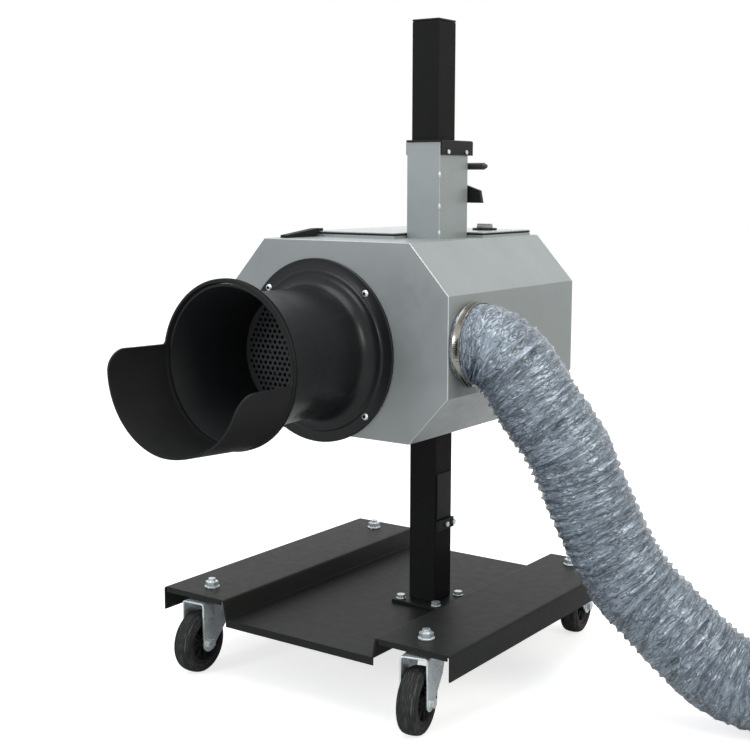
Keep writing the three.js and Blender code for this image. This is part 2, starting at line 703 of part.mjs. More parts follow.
function castorFork() {
  const half = FORK_HALF_WIDTH - FORK_SHEET / 2;
  const foot = WHEEL_RADIUS - FORK_EYE_RADIUS - CUT_OVERRUN;
  const crown = FORK_TOP - FORK_SHEET / 2;
  const path = [[-half, foot], [-half, crown], [half, crown], [half, foot]];
  const channel = bentSheet(path, FORK_SHEET, FORK_BEND_RADIUS);
  const pressed = common(
    alongY(channel, -FORK_TRAIL_EDGE, FORK_LEAD_EDGE),
    alongX(forkSideOutline(), -FORK_HALF_WIDTH - CUT_OVERRUN, FORK_HALF_WIDTH + CUT_OVERRUN),
  );
  const pinHole = rodZ(KINGPIN_RADIUS + SEAT_GAP, KINGPIN_FOOT, FORK_TOP + CUT_OVERRUN, MEDIUM_ROUND);
  const nutEnd = FORK_HALF_WIDTH + AXLE_NUT_HEIGHT;
  return join(
    cut(pressed, pinHole),
    rodX(AXLE_RADIUS, -nutEnd, nutEnd, SMALL_ROUND, -CASTOR_TRAIL, WHEEL_RADIUS),
    rodX(AXLE_NUT_RADIUS, -nutEnd, -half, HEX, -CASTOR_TRAIL, WHEEL_RADIUS),
    rodX(AXLE_NUT_RADIUS, half, nutEnd, HEX, -CASTOR_TRAIL, WHEEL_RADIUS),
  );
}

function halfToFull(halfProfile) {
  return [...halfProfile, ...halfProfile.map(([radius, along]) => [radius, -along]).reverse()];
}

function castorHub() {
  const profile = halfToFull([
    [AXLE_RADIUS + SEAT_GAP, HUB_HALF_WIDTH],
    [HUB_COLLAR_RADIUS, HUB_HALF_WIDTH],
    [RIM_RADIUS - HUB_RIM_WALL, HUB_WEB_HALF_WIDTH],
    [RIM_RADIUS - HUB_RIM_WALL, HUB_RIM_HALF_WIDTH],
    [RIM_RADIUS, HUB_RIM_HALF_WIDTH],
  ]);
  return turned(profile, MEDIUM_ROUND).rotateZ(Math.PI / 2);
}

const TYRE_WIDTH_SHARES = [0.9, 1, 0.78, 0.34];
const TYRE_DEPTH_SHARES = [0, 0.5, 0.88, 1];

function castorTyre() {
  const seat = RIM_RADIUS + SEAT_GAP;
  const profile = halfToFull(TYRE_WIDTH_SHARES.map((width, step) =>
    [seat + (WHEEL_RADIUS - seat) * TYRE_DEPTH_SHARES[step], TYRE_HALF_WIDTH * width]));
  return turned(profile, MEDIUM_ROUND).rotateZ(Math.PI / 2);
}

function addCastor(name, x, y) {
  const corner = new THREE.Group();
  corner.position.set(x, y, 0);
  const swivel = new THREE.Group();
  swivel.rotation.z = THREE.MathUtils.degToRad(CASTOR_ANGLES[name]);
  const axle = new THREE.Group();
  axle.position.set(0, -CASTOR_TRAIL, WHEEL_RADIUS);
  place(corner, `castor_mount_${name}`, castorMount(), ZINC);
  place(swivel, `castor_fork_${name}`, castorFork(), ZINC);
  place(axle, `castor_hub_${name}`, castorHub(), BLACK_PLASTIC);
  place(axle, `castor_tyre_${name}`, castorTyre(), TYRE_RUBBER);
  swivel.add(axle);
  corner.add(swivel);
  trolley.add(corner);
}

// Housing
function octagon(inset) {
  const left = HOUSING_LEFT + inset;
  const right = HOUSING_RIGHT - inset;
  const foot = HOUSING_FOOT + inset;
  const top = HOUSING_TOP - inset;
  const slant = Math.hypot(HOUSING_CHAMFER_X, HOUSING_CHAMFER_Z);
  const loss = inset * (HOUSING_CHAMFER_X + HOUSING_CHAMFER_Z - slant);
  const across = HOUSING_CHAMFER_X - loss / HOUSING_CHAMFER_Z;
  const up = HOUSING_CHAMFER_Z - loss / HOUSING_CHAMFER_X;
  return [
    [left + across, foot], [right - across, foot], [right, foot + up], [right, top - up],
    [right - across, top], [left + across, top], [left, top - up], [left, foot + up],
  ];
}

// Sleeve outline grown by a margin, in X and Y
function sleeveOutline(margin) {
  return rectangle(-SLEEVE_HALF - margin, SLEEVE_HALF + margin, SLEEVE_FRONT - margin, SLEEVE_BACK + margin);
}

// Lid outline drawn in by an inset: a rectangle with a notch at the sleeve, open to the right
function lidOutline(inset) {
  const left = -LID_LEFT + HOUSING_CENTRE_X + inset;
  const right = HOUSING_CENTRE_X + LID_RIGHT - inset;
  const front = HOUSING_FRONT + LID_FRONT + inset;
  const back = HOUSING_BACK - LID_BACK - inset;
  const notch = -SLEEVE_HALF - LID_SLEEVE_MARGIN - inset;
  const behind = SLEEVE_BACK + LID_SLEEVE_MARGIN + inset;
  return [[left, front], [notch, front], [notch, behind], [right, behind], [right, back], [left, back]];
}

function housingFront() {
  const hole = disc(THROAT_RADIUS - THROAT_WALL, LARGE_ROUND, INLET_X, INLET_Z);
  const screwHoles = flangeScrewPlaces().map(([x, z]) =>
    disc(FLANGE_SCREW_SHANK + SEAT_GAP, SMALL_ROUND, x, z));
  return alongY(octagon(0), HOUSING_FRONT, HOUSING_FRONT + HOUSING_SHEET, [hole, ...screwHoles]);
}

function housingWrap() {
  const tube = alongY(octagon(0), WRAP_FRONT, WRAP_BACK, [octagon(HOUSING_SHEET)]);
  const rim = standing(lidOutline(0), HOUSING_TOP - HOUSING_SHEET / 2, LID_RIM_TOP);
  const deep = HOUSING_SHEET + CUT_OVERRUN;
  const outside = HOUSING_RIGHT + CUT_OVERRUN;
  return cut(
    join(tube, rim),
    standing(sleeveOutline(SEAT_GAP), HOUSING_FOOT - CUT_OVERRUN, HOUSING_FOOT + deep),
    standing(sleeveOutline(SEAT_GAP), HOUSING_TOP - deep, HOUSING_TOP + CUT_OVERRUN),
    standing(lidOutline(GASKET_WIDTH + HOUSING_SHEET), HOUSING_TOP - deep, LID_RIM_TOP + CUT_OVERRUN),
    rodX(SPIGOT_RADIUS + SEAT_GAP, HOUSING_RIGHT - deep, outside, LARGE_ROUND, OUTLET_Y, OUTLET_Z),
  );
}

function housingBack() {
  return alongY(octagon(0), HOUSING_BACK - HOUSING_SHEET, HOUSING_BACK);
}

function bulkhead() {
  const hole = disc(BULKHEAD_HOLE, MEDIUM_ROUND, INLET_X, INLET_Z);
  return alongY(octagon(HOUSING_SHEET + SEAT_GAP), BULKHEAD_FRONT, BULKHEAD_BACK, [hole]);
}

// Sleeve, with the bosses that take the two clamp screws
function sleeve() {
  const tube = standing(sleeveOutline(0), SLEEVE_FOOT, SLEEVE_TOP, [sleeveOutline(-SLEEVE_WALL)]);
  const inside = SLEEVE_BACK - SLEEVE_WALL;
  const bossEnd = SLEEVE_BACK + CLAMP_BOSS_DEPTH;
  const bosses = [BAR_Z, WING_Z].map((z) =>
    rodY(CLAMP_BOSS_RADIUS, SLEEVE_BACK - SLEEVE_WALL / 2, bossEnd, MEDIUM_ROUND, 0, z));
  const holes = [BAR_Z, WING_Z].map((z) =>
    rodY(CLAMP_SCREW_RADIUS + SEAT_GAP, inside - CUT_OVERRUN, bossEnd + CUT_OVERRUN, SMALL_ROUND, 0, z));
  const screwHole = CAP_SCREW_SHANK_RADIUS + SEAT_GAP;
  const screwHoles = [-SLEEVE_HALF, SLEEVE_HALF].flatMap((side) => capScrewPlaces().map(([y, z]) =>
    rodX(screwHole, side - CUT_OVERRUN, side + CUT_OVERRUN, SMALL_ROUND, y, z)));
  return cut(join(tube, ...bosses), ...holes, ...screwHoles);
}

function slidePad(foot) {
  const front = POST_HALF + SEAT_GAP;
  const back = SLEEVE_BACK - SLEEVE_WALL - SEAT_GAP;
  return boxBetween([-PAD_WIDTH / 2, front, foot], [PAD_WIDTH / 2, back, foot + PAD_HEIGHT]);
}

function capScrewPlaces() {
  const z = CAP_UNDERSIDE - CAP_SCREW_DROP;
  const shares = [CAP_SCREW_FRONT_SHARE, CAP_SCREW_BACK_SHARE];
  return shares.map((share) => [SLEEVE_FRONT + SLEEVE_DEPTH * share, z]);
}

// Sleeve cap: folded sheet over the top of the sleeve, down both sides
function sleeveCap() {
  const half = SLEEVE_HALF + SEAT_GAP + SLEEVE_CAP_SHEET / 2;
  const crown = CAP_UNDERSIDE + SLEEVE_CAP_SHEET / 2;
  const foot = CAP_UNDERSIDE - SLEEVE_CAP_DROP;
  const outline = bentSheet([[-half, foot], [-half, crown], [half, crown], [half, foot]], SLEEVE_CAP_SHEET,
    SLEEVE_CAP_SHEET / 2 + SEAT_GAP);
  const hole = POST_HALF + RUNNING_GAP;
  const holeTop = CAP_UNDERSIDE + SLEEVE_CAP_SHEET + CUT_OVERRUN;
  const flangeFront = SLEEVE_FRONT + SLEEVE_FLANGE_SETBACK;
  const lipHalf = SLEEVE_HALF + SEAT_GAP;
  const lip = boxBetween(
    [-lipHalf, SLEEVE_FRONT - SLEEVE_CAP_FRONT_OVERHANG, CAP_UNDERSIDE],
    [lipHalf, flangeFront + SLEEVE_FLANGE_SETBACK, CAP_UNDERSIDE + SLEEVE_CAP_SHEET],
  );
  return cut(
    join(alongY(outline, flangeFront, SLEEVE_BACK + SLEEVE_CAP_OVERHANG), lip),
    boxBetween([-hole, -hole, CAP_UNDERSIDE - CUT_OVERRUN], [hole, hole, holeTop]),
    ...capScrewPlaces().map(([y, z]) =>
      rodX(CAP_SCREW_SHANK_RADIUS + SEAT_GAP, -half - CUT_OVERRUN, half + CUT_OVERRUN, SMALL_ROUND, y, z)),
  );
}

function capScrew(side, y, z) {
  const seat = SLEEVE_HALF + 2 * SEAT_GAP + SLEEVE_CAP_SHEET;
  const tip = SLEEVE_HALF - SLEEVE_WALL;
  const screw = join(
    rodX(CAP_SCREW_RADIUS, seat, seat + CAP_SCREW_HEAD, SMALL_ROUND, y, z),
    rodX(CAP_SCREW_SHANK_RADIUS, tip, seat + CAP_SCREW_HEAD / 2, SMALL_ROUND, y, z),
  );
  return side < 0 ? screw.rotateY(Math.PI).translate(0, 0, 2 * z) : screw;
}

// Hand clamp with a bar handle
function clampBar() {
  const tip = SLEEVE_BACK - SLEEVE_WALL;
  const barY = SLEEVE_BACK + BAR_STANDOFF;
  const straight = BAR_HALF_LENGTH - BAR_TIP;
  const bar = [-1, 1].map((side) =>
    new THREE.CylinderGeometry(BAR_RADIUS / 2, BAR_RADIUS, BAR_TIP, SMALL_ROUND)
      .rotateZ((-side * Math.PI) / 2).translate(side * (straight + BAR_TIP / 2), barY, BAR_Z));
  return join(
    rodY(CLAMP_SCREW_RADIUS, tip, barY, SMALL_ROUND, 0, BAR_Z),
    rodY(BAR_HUB_RADIUS, barY - BAR_RADIUS, barY + BAR_HUB_RADIUS, MEDIUM_ROUND, 0, BAR_Z),
    rodX(BAR_RADIUS, -straight, straight, SMALL_ROUND, barY, BAR_Z),
    ...bar,
  );
}

// Hand clamp with two flat wings, straight below and sloping above
const WING_ROOT_SHARE = 0.3;
const WING_TIP_SHARE = 0.92;

function clampWing() {
  const front = SLEEVE_BACK + WING_STANDOFF;
  const back = front + WING_THICKNESS;
  const outline = [
    [-WING_HALF_SPAN, -WING_FALL],
    [WING_HALF_SPAN, -WING_FALL],
    [WING_HALF_SPAN * WING_TIP_SHARE, WING_TIP_RISE],
    [WING_HALF_SPAN * WING_ROOT_SHARE, WING_RISE],
    [-WING_HALF_SPAN * WING_ROOT_SHARE, WING_RISE],
    [-WING_HALF_SPAN * WING_TIP_SHARE, WING_TIP_RISE],
  ].map(([x, z]) => [x, WING_Z + z]);
  return join(
    alongY(outline, front, back),
    rodY(WING_HUB_RADIUS, front, back + SEAT_GAP, MEDIUM_ROUND, 0, WING_Z),
    rodY(CLAMP_SCREW_RADIUS, SLEEVE_BACK - SLEEVE_WALL, front + WING_THICKNESS / 2, SMALL_ROUND, 0, WING_Z),
  );
}

// Lid, gasket and strap
function gasket() {
  return standing(lidOutline(0), LID_RIM_TOP + SEAT_GAP, GASKET_TOP, [lidOutline(GASKET_WIDTH)]);
}

function lid() {
  const hole = disc(SWITCH_SHAFT_RADIUS + SEAT_GAP, SMALL_ROUND, SWITCH_X, SWITCH_Y);
  return standing(lidOutline(0), GASKET_TOP + SEAT_GAP, LID_TOP, [hole]);
}

function lidStrap() {
  const left = HOUSING_CENTRE_X - LID_LEFT + STRAP_LEFT_INSET;
  const lidFront = HOUSING_FRONT + LID_FRONT;
  const front = lidFront - STRAP_FRONT_RUN;
  const back = front + STRAP_LENGTH;
  const low = HOUSING_TOP + SEAT_GAP;
  const high = LID_TOP + SEAT_GAP;
  const eyeY = back - STRAP_EYE_RADIUS;
  const ramp = lidFront - STRAP_EYE_RADIUS;
  const body = alongX([
    [front, low],
    [ramp, low],
    [lidFront - SEAT_GAP, high],
    [eyeY, high],
    [eyeY, high + STRAP_THICKNESS],
    [ramp, high + STRAP_THICKNESS],
    [front, low + STRAP_THICKNESS],
  ], left, left + STRAP_WIDTH);
  const middle = left + STRAP_WIDTH / 2;
  return cut(
    join(body, rodZ(STRAP_EYE_RADIUS, high, high + STRAP_THICKNESS, MEDIUM_ROUND, middle, eyeY)),
    rodZ(STRAP_EYE_HOLE, high - CUT_OVERRUN, high + STRAP_THICKNESS + CUT_OVERRUN, SMALL_ROUND, middle, eyeY),
  );
}

const SWITCH_FOOT = LID_TOP + SEAT_GAP;
const KNOB_FOOT = SWITCH_FOOT + SWITCH_BASE_HEIGHT + SEAT_GAP;

function switchBase() {
  const hole = disc(SWITCH_SHAFT_RADIUS + SEAT_GAP, SMALL_ROUND, SWITCH_X, SWITCH_Y);
  return standing(disc(SWITCH_BASE_RADIUS, MEDIUM_ROUND, SWITCH_X, SWITCH_Y), SWITCH_FOOT,
    SWITCH_FOOT + SWITCH_BASE_HEIGHT, [hole]);
}

function switchKnob() {
  const top = KNOB_FOOT + SWITCH_KNOB_HEIGHT;
  const skirt = KNOB_FOOT + SWITCH_KNOB_HEIGHT / 2;
  const grip = SWITCH_KNOB_RADIUS * SWITCH_GRIP_SHARE;
  return join(
    rodZ(SWITCH_KNOB_RADIUS, KNOB_FOOT, skirt, MEDIUM_ROUND, SWITCH_X, SWITCH_Y),
    common(
      rodZ(SWITCH_KNOB_RADIUS, skirt - SEAT_GAP, top, MEDIUM_ROUND, SWITCH_X, SWITCH_Y),
      boxBetween(
        [SWITCH_X - SWITCH_KNOB_RADIUS, SWITCH_Y - grip, KNOB_FOOT],
        [SWITCH_X + SWITCH_KNOB_RADIUS, SWITCH_Y + grip, top],
      ),
    ),
    rodZ(SWITCH_SHAFT_RADIUS, LID_TOP - LID_SHEET, skirt, SMALL_ROUND, SWITCH_X, SWITCH_Y),
  );
}

// Inlet moulding: flat flange with a raised step, fillet into the throat, straight throat, flared end
const FILLET_STEPS = 3;
const FLARE_STEPS = 3;
const FLARE_EASE = 1.35;

function flareRadius(share) {
  return THROAT_RADIUS + (FLARE_RADIUS - THROAT_RADIUS) * share ** FLARE_EASE;
}

function inlet() {
  const filletRadius = THROAT_RADIUS + THROAT_FILLET;
  const fillet = arc(filletRadius, STEP_FRONT - THROAT_FILLET, THROAT_FILLET, 90, 180, FILLET_STEPS);
  const flare = Array.from({ length: FLARE_STEPS + 1 }, (_, step) => {
    const share = step / FLARE_STEPS;
    return [flareRadius(share), FLARE_START - FLARE_LENGTH * share];
  });
  const bore = flare.map(([radius, along]) => [radius - THROAT_WALL, along]).reverse();
  const profile = [
    [FLANGE_RADIUS, FLANGE_BACK],
    [FLANGE_RADIUS, FLANGE_FRONT],
    [STEP_RADIUS + STEP_HEIGHT, FLANGE_FRONT],
    [STEP_RADIUS, STEP_FRONT],
    ...fillet,
    ...flare,
    ...bore,
    [THROAT_RADIUS - THROAT_WALL, FLANGE_BACK],
  ];
  const holeRadius = FLANGE_SCREW_SHANK + SEAT_GAP;
  const holes = flangeScrewPlaces().map(([x, z]) =>
    rodY(holeRadius, FLANGE_FRONT - CUT_OVERRUN, FLANGE_BACK + CUT_OVERRUN, SMALL_ROUND, x, z));
  return cut(turned(profile, LARGE_ROUND).translate(INLET_X, 0, INLET_Z), ...holes);
}

function flangeScrewPlaces() {
  const reach = FLANGE_SCREW_CIRCLE * Math.SQRT1_2;
  const corners = [[1, 1], [1, -1], [-1, -1], [-1, 1]];
  return corners.map(([across, up]) => [INLET_X + across * reach, INLET_Z + up * reach]);
}

function flangeScrew(x, z) {
  const seat = FLANGE_FRONT - SEAT_GAP;
  return join(
    rodY(FLANGE_SCREW_RADIUS, seat - FLANGE_SCREW_HEAD, seat, SMALL_ROUND, x, z),
    rodY(FLANGE_SCREW_SHANK, seat - FLANGE_SCREW_HEAD / 2, HOUSING_FRONT + HOUSING_SHEET, SMALL_ROUND, x, z),
  );
}

// Grille: a disc with rows of six-sided holes
function grille() {
  const radius = THROAT_RADIUS - THROAT_WALL - SEAT_GAP;
  const reach = radius - GRILLE_BORDER;
  const rowPitch = GRILLE_PITCH * Math.sin(Math.PI / 3);
  const rows = Math.floor(reach / rowPitch);
  const hole = (GRILLE_PITCH * GRILLE_HOLE_SHARE) / 2;
  const holes = [];
  for (let row = -rows; row <= rows; row += 1) {
    const shift = row % 2 === 0 ? 0 : GRILLE_PITCH / 2;
    const count = Math.ceil(reach / GRILLE_PITCH);
    for (let column = -count; column <= count; column += 1) {
      const across = column * GRILLE_PITCH + shift;
      const up = row * rowPitch;
      if (Math.hypot(across, up) + hole <= reach + GRILLE_BORDER / 2) {
        holes.push(disc(hole, HEX, INLET_X + across, INLET_Z + up));
      }
    }
  }
  const front = HOUSING_FRONT - GRILLE_SETBACK - GRILLE_SHEET;
  return alongY(disc(radius, LARGE_ROUND, INLET_X, INLET_Z), front, front + GRILLE_SHEET, holes);
}

// Hood: a beaded ring on the flared end, with the lower half drawn forward as a scoop
function hood() {
  const bead = (along) => [
    [HOOD_OUTER, along],
    [HOOD_OUTER + HOOD_BEAD, along - HOOD_BEAD_WIDTH / 2],
    [HOOD_OUTER, along - HOOD_BEAD_WIDTH],
  ];
  const inner = HOOD_OUTER - HOOD_SHELL;
  const shell = turned([
    [HOOD_INNER, HOOD_BACK],
    [HOOD_OUTER, HOOD_BACK],
    ...bead(HOOD_BACK - HOOD_BEAD_WIDTH),
    ...bead(HOOD_BACK - HOOD_BEAD_WIDTH * 3),
    [HOOD_OUTER, MOUTH],
    [HOOD_OUTER - SCOOP_TAPER, SCOOP_FRONT],
    [inner - SCOOP_TAPER, SCOOP_FRONT],
    [inner, MOUTH],
    [inner, FLARE_END - SEAT_GAP - HOOD_SHELL],
    [HOOD_INNER, FLARE_END - SEAT_GAP],
  ], LARGE_ROUND);
  const reach = HOOD_OUTER + HOOD_BEAD + CUT_OVERRUN;
  const frontRise = SCOOP_RISE + SCOOP_LIFT;
  const side = [
    [HOOD_BACK + CUT_OVERRUN, -reach],
    [HOOD_BACK + CUT_OVERRUN, reach],
    [MOUTH, reach],
    ...arc(MOUTH - SCOOP_ROOT_CORNER, SCOOP_RISE + SCOOP_ROOT_CORNER, SCOOP_ROOT_CORNER, 0, -90, BEND_STEPS),
    ...arc(SCOOP_FRONT + SCOOP_CORNER, frontRise - SCOOP_CORNER, SCOOP_CORNER, 90, 180, 2 * BEND_STEPS),
    [SCOOP_FRONT, -reach],
  ];
  return common(shell, alongX(side, -reach, reach));
}

// Motor: a ribbed casting behind the bulkhead, with a bearing bore for the impeller shaft
function motor() {
  const front = BULKHEAD_BACK + SEAT_GAP;
  const back = front + MOTOR_LENGTH;
  const core = MOTOR_RADIUS - MOTOR_RIB_HEIGHT;
  const half = MOTOR_RIB_WIDTH / 2;
  const ribs = Array.from({ length: MOTOR_RIB_COUNT }, (_, step) =>
    boxBetween([core - MOTOR_RIB_HEIGHT, front, -half], [MOTOR_RADIUS, back, half])
      .rotateY((2 * Math.PI * step) / MOTOR_RIB_COUNT));
  const casting = cut(
    join(rodY(core, front, back, MEDIUM_ROUND), ...ribs),
    rodY(SHAFT_RADIUS + SEAT_GAP, front - CUT_OVERRUN, front + SHAFT_REACH, MEDIUM_ROUND),
  );
  return casting.translate(INLET_X, 0, INLET_Z);
}

// Impeller: back plate, curved blades swept backwards, front ring with an eye, hub and shaft
function bladeOutline() {
  const sweep = THREE.MathUtils.degToRad(BLADE_SWEEP_ANGLE);
  const middle = Array.from({ length: BLADE_STEPS + 1 }, (_, step) => {
    const share = step / BLADE_STEPS;
    const radius = IMPELLER_EYE + (IMPELLER_RADIUS - IMPELLER_EYE) * share;
    return [radius * Math.cos(sweep * share), radius * Math.sin(sweep * share)];
  });
  return bentSheet(middle, BLADE_THICKNESS, BLADE_THICKNESS);
}

function impeller() {
  const back = BULKHEAD_FRONT - IMPELLER_SETBACK + IMPELLER_SHEET;
  const plate = back - IMPELLER_SHEET;
  const front = back - IMPELLER_DEPTH;
  const blades = Array.from({ length: BLADE_COUNT }, (_, step) =>
    alongY(bladeOutline(), front + IMPELLER_SHEET / 2, back - IMPELLER_SHEET / 2)
      .rotateY((2 * Math.PI * step) / BLADE_COUNT));
  const eyeRing = turned([
    [IMPELLER_EYE, front],
    [IMPELLER_RADIUS, front],
    [IMPELLER_RADIUS, front + IMPELLER_SHEET],
    [IMPELLER_EYE, front + IMPELLER_SHEET],
  ], MEDIUM_ROUND);
  return join(
    rodY(IMPELLER_RADIUS, plate, back, MEDIUM_ROUND),
    eyeRing,
    ...blades,
    rodY(IMPELLER_HUB, plate - IMPELLER_HUB_LENGTH, back, MEDIUM_ROUND),
    rodY(SHAFT_RADIUS, plate, BULKHEAD_BACK + SHAFT_REACH - RUNNING_GAP, MEDIUM_ROUND),
  ).translate(INLET_X, 0, INLET_Z);
}

// Outlet spigot, its band clamp and the duct
function spigot() {
  const inside = HOUSING_RIGHT - HOUSING_SHEET - SEAT_GAP;
  const profile = [
    [SPIGOT_RADIUS - SPIGOT_WALL, inside - SPIGOT_WALL],
    [SPIGOT_FLANGE_RADIUS, inside - SPIGOT_WALL],
    [SPIGOT_FLANGE_RADIUS, inside],
    [SPIGOT_RADIUS, inside],
    [SPIGOT_RADIUS, HOUSING_RIGHT + SPIGOT_REACH],
    [SPIGOT_RADIUS - SPIGOT_WALL, HOUSING_RIGHT + SPIGOT_REACH],
  ];
  return turned(profile, MEDIUM_ROUND).rotateZ(-Math.PI / 2).translate(0, OUTLET_Y, OUTLET_Z);
}

function ductClamp() {
  const inner = DUCT_BORE + DUCT_WALL + SEAT_GAP;
  const outer = inner + CLAMP_BAND_SHEET;
  const start = HOUSING_RIGHT + CLAMP_BAND_START;
  const end = start + CLAMP_BAND_WIDTH;
  const band = alongX(disc(outer, LARGE_ROUND), start, end, [disc(inner, LARGE_ROUND)]);
  const worm = boxBetween(
    [start, inner + CLAMP_BAND_SHEET / 2, -CLAMP_WORM_LENGTH / 2],
    [end, outer + CLAMP_WORM_DEPTH, CLAMP_WORM_LENGTH / 2],
  );
  return join(band, worm).translate(0, OUTLET_Y, OUTLET_Z);
}

// Distances along the duct where its rings lie: a plain cuff, open ribs, then ribs drawn together, plain end
function ductRings(length) {
  const rings = [[0, 0], [DUCT_CUFF, 0]];
  let along = DUCT_CUFF;
  while (along < length - DUCT_CUFF - DUCT_OPEN_PITCH) {
    const pitch = along < DUCT_OPEN_LENGTH ? DUCT_OPEN_PITCH : DUCT_CLOSED_PITCH;
    rings.push([along + pitch / 2, 1], [along + pitch, 0]);
    along += pitch;
  }
  rings.push([length, 0]);
  return rings;
}

// Places, tangents and a side direction carried along the duct without twist
function ductFrames() {
  const route = DUCT_ROUTE.map(([reach, shift, rise]) =>
    new THREE.Vector3(HOUSING_RIGHT + reach, OUTLET_Y + shift, DUCT_REST + (OUTLET_Z - DUCT_REST) * rise));
  const curve = new THREE.CatmullRomCurve3(route, false, 'centripetal');
  curve.arcLengthDivisions = DUCT_SAMPLES;
  const length = curve.getLength();
  const frames = [];
  const side = new THREE.Vector3(0, 0, 1);
  for (const [along, rise] of ductRings(length)) {
    const tangent = along < DUCT_CUFF / 2 ? new THREE.Vector3(1, 0, 0) : curve.getTangentAt(along / length);
    side.addScaledVector(tangent, -side.dot(tangent)).normalize();
    const across = tangent.clone().cross(side);
    frames.push({ centre: curve.getPointAt(along / length), side: side.clone(), across, rise });
  }
  return frames;
}

function ring(frame, radius) {
  return Array.from({ length: DUCT_POINTS }, (_, step) => {
    const angle = (2 * Math.PI * (step + 1 / 2)) / DUCT_POINTS;
    return frame.centre.clone()
      .addScaledVector(frame.side, radius * Math.cos(angle))
      .addScaledVector(frame.across, radius * Math.sin(angle));
  });
}

function duct() {
  const frames = ductFrames();
  const outside = frames.map((frame) => ring(frame, DUCT_BORE + DUCT_WALL + DUCT_RIB_HEIGHT * frame.rise));
  const lastRib = frames.length - 2;
  const boreFrames = frames.filter((_, place) => place % (2 * DUCT_BORE_EVERY) === 1 && place < lastRib);
  const inside = [frames[0], ...boreFrames, frames[frames.length - 1]].map((frame) => ring(frame, DUCT_BORE));
  const loop = [...outside, ...inside.reverse()];
  const points = loop.flat().flatMap((point) => [point.x, point.y, point.z]);
  const faces = [];
  loop.forEach((_, level) => {
    const next = (level + 1) % loop.length;
    for (let step = 0; step < DUCT_POINTS; step += 1) {
      const turn = (step + 1) % DUCT_POINTS;
      const [a, b] = [level * DUCT_POINTS + step, level * DUCT_POINTS + turn];
      const [c, d] = [next * DUCT_POINTS + step, next * DUCT_POINTS + turn];
      faces.push(a, b, c, b, d, c);
    }
  });
  const geometry = new THREE.BufferGeometry();
  geometry.setAttribute('position', new THREE.Float32BufferAttribute(points, 3));
  geometry.setIndex(faces);
  if (signedVolume(geometry) < 0) geometry.setIndex(faces.reverse());
  geometry.computeVertexNormals();
  return geometry;
}

// Assembly: trolley
place(trolley, 'base_tray', tray(), BLACK_PAINT);
place(trolley, 'post_foot_plate', footPlate(), BLACK_PAINT);
footBoltPlaces().forEach(([x, y], step) => place(trolley, `foot_bolt_${step + 1}`, footBolt(x, y), ZINC));
place(trolley, 'post', post(), BLACK_PAINT);
place(trolley, 'post_cap', postCap(), BLACK_PLASTIC);
place(trolley, 'stop_plate', stopPlate(), BLACK_PAINT);
place(trolley, 'stop_block', stopBlock(), BLACK_PAINT);
stopScrewPlaces().forEach(([y, z], step) => place(trolley, `stop_screw_${step + 1}`, stopScrew(y, z), ZINC));
addCastor('front_left', CASTOR_X[0], CASTOR_Y[0]);
addCastor('front_right', CASTOR_X[1], CASTOR_Y[0]);
addCastor('rear_left', CASTOR_X[0], CASTOR_Y[1]);
addCastor('rear_right', CASTOR_X[1], CASTOR_Y[1]);

// Assembly: carriage
place(carriage, 'housing_front', housingFront(), SILVER_PAINT);
place(carriage, 'housing_wrap', housingWrap(), SILVER_PAINT);
place(carriage, 'housing_back', housingBack(), SILVER_PAINT);
place(carriage, 'bulkhead', bulkhead(), SILVER_PAINT);
place(carriage, 'sleeve', sleeve(), SILVER_PAINT);
place(carriage, 'slide_pad_lower', slidePad(SLEEVE_FOOT + PAD_INSET), NYLON);
place(carriage, 'slide_pad_upper', slidePad(SLEEVE_TOP - PAD_INSET - PAD_HEIGHT / 2), NYLON);
place(carriage, 'sleeve_cap', sleeveCap(), BLACK_PAINT);
capScrewPlaces().forEach(([y, z], step) => {
  place(carriage, `cap_screw_right_${step + 1}`, capScrew(1, y, z), ZINC);
  place(carriage, `cap_screw_left_${step + 1}`, capScrew(-1, y, z), ZINC);
});
place(carriage, 'clamp_bar', clampBar(), BLACK_PLASTIC);
place(carriage, 'clamp_wing', clampWing(), BLACK_PLASTIC);
place(carriage, 'lid_gasket', gasket(), HOOD_RUBBER);
place(carriage, 'lid', lid(), SILVER_PAINT);
place(carriage, 'lid_strap', lidStrap(), HOOD_RUBBER);
place(carriage, 'switch_base', switchBase(), BLACK_PLASTIC);
place(carriage, 'switch_knob', switchKnob(), GREY_PLASTIC);
place(carriage, 'inlet_flange', inlet(), BLACK_MOULDING);
flangeScrewPlaces().forEach(([x, z], step) => {
  place(carriage, `flange_screw_${step + 1}`, flangeScrew(x, z), ZINC);
});
place(carriage, 'grille', grille(), BLACK_PAINT);
const hoodTurn = new THREE.Group();
hoodTurn.position.set(INLET_X, 0, INLET_Z);
hoodTurn.rotation.y = THREE.MathUtils.degToRad(HOOD_ANGLE);
carriage.add(hoodTurn);
place(hoodTurn, 'hood', hood(), HOOD_RUBBER);
place(carriage, 'motor', motor(), MOTOR_CASTING);
place(carriage, 'impeller', impeller(), IMPELLER_SHEET_METAL);
place(carriage, 'outlet_spigot', spigot(), ZINC);
place(carriage, 'duct_clamp', ductClamp(), POLISHED_STEEL);
place(carriage, 'exhaust_duct', duct(), DUCT_CLOTH);

// Origin on the floor under the middle of everything but the duct
root.updateMatrixWorld(true);
const bounds = new THREE.Box3();
root.traverse((node) => {
  if (node.isMesh && node.name !== 'exhaust_duct') bounds.union(new THREE.Box3().setFromObject(node, true));
});
const middle = bounds.getCenter(new THREE.Vector3());
root.position.set(-middle.x, -middle.y, -bounds.min.z);
const group = root;

export default group;
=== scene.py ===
import json
import math

import bmesh
import bpy
import numpy as np
from mathutils import Matrix, Vector

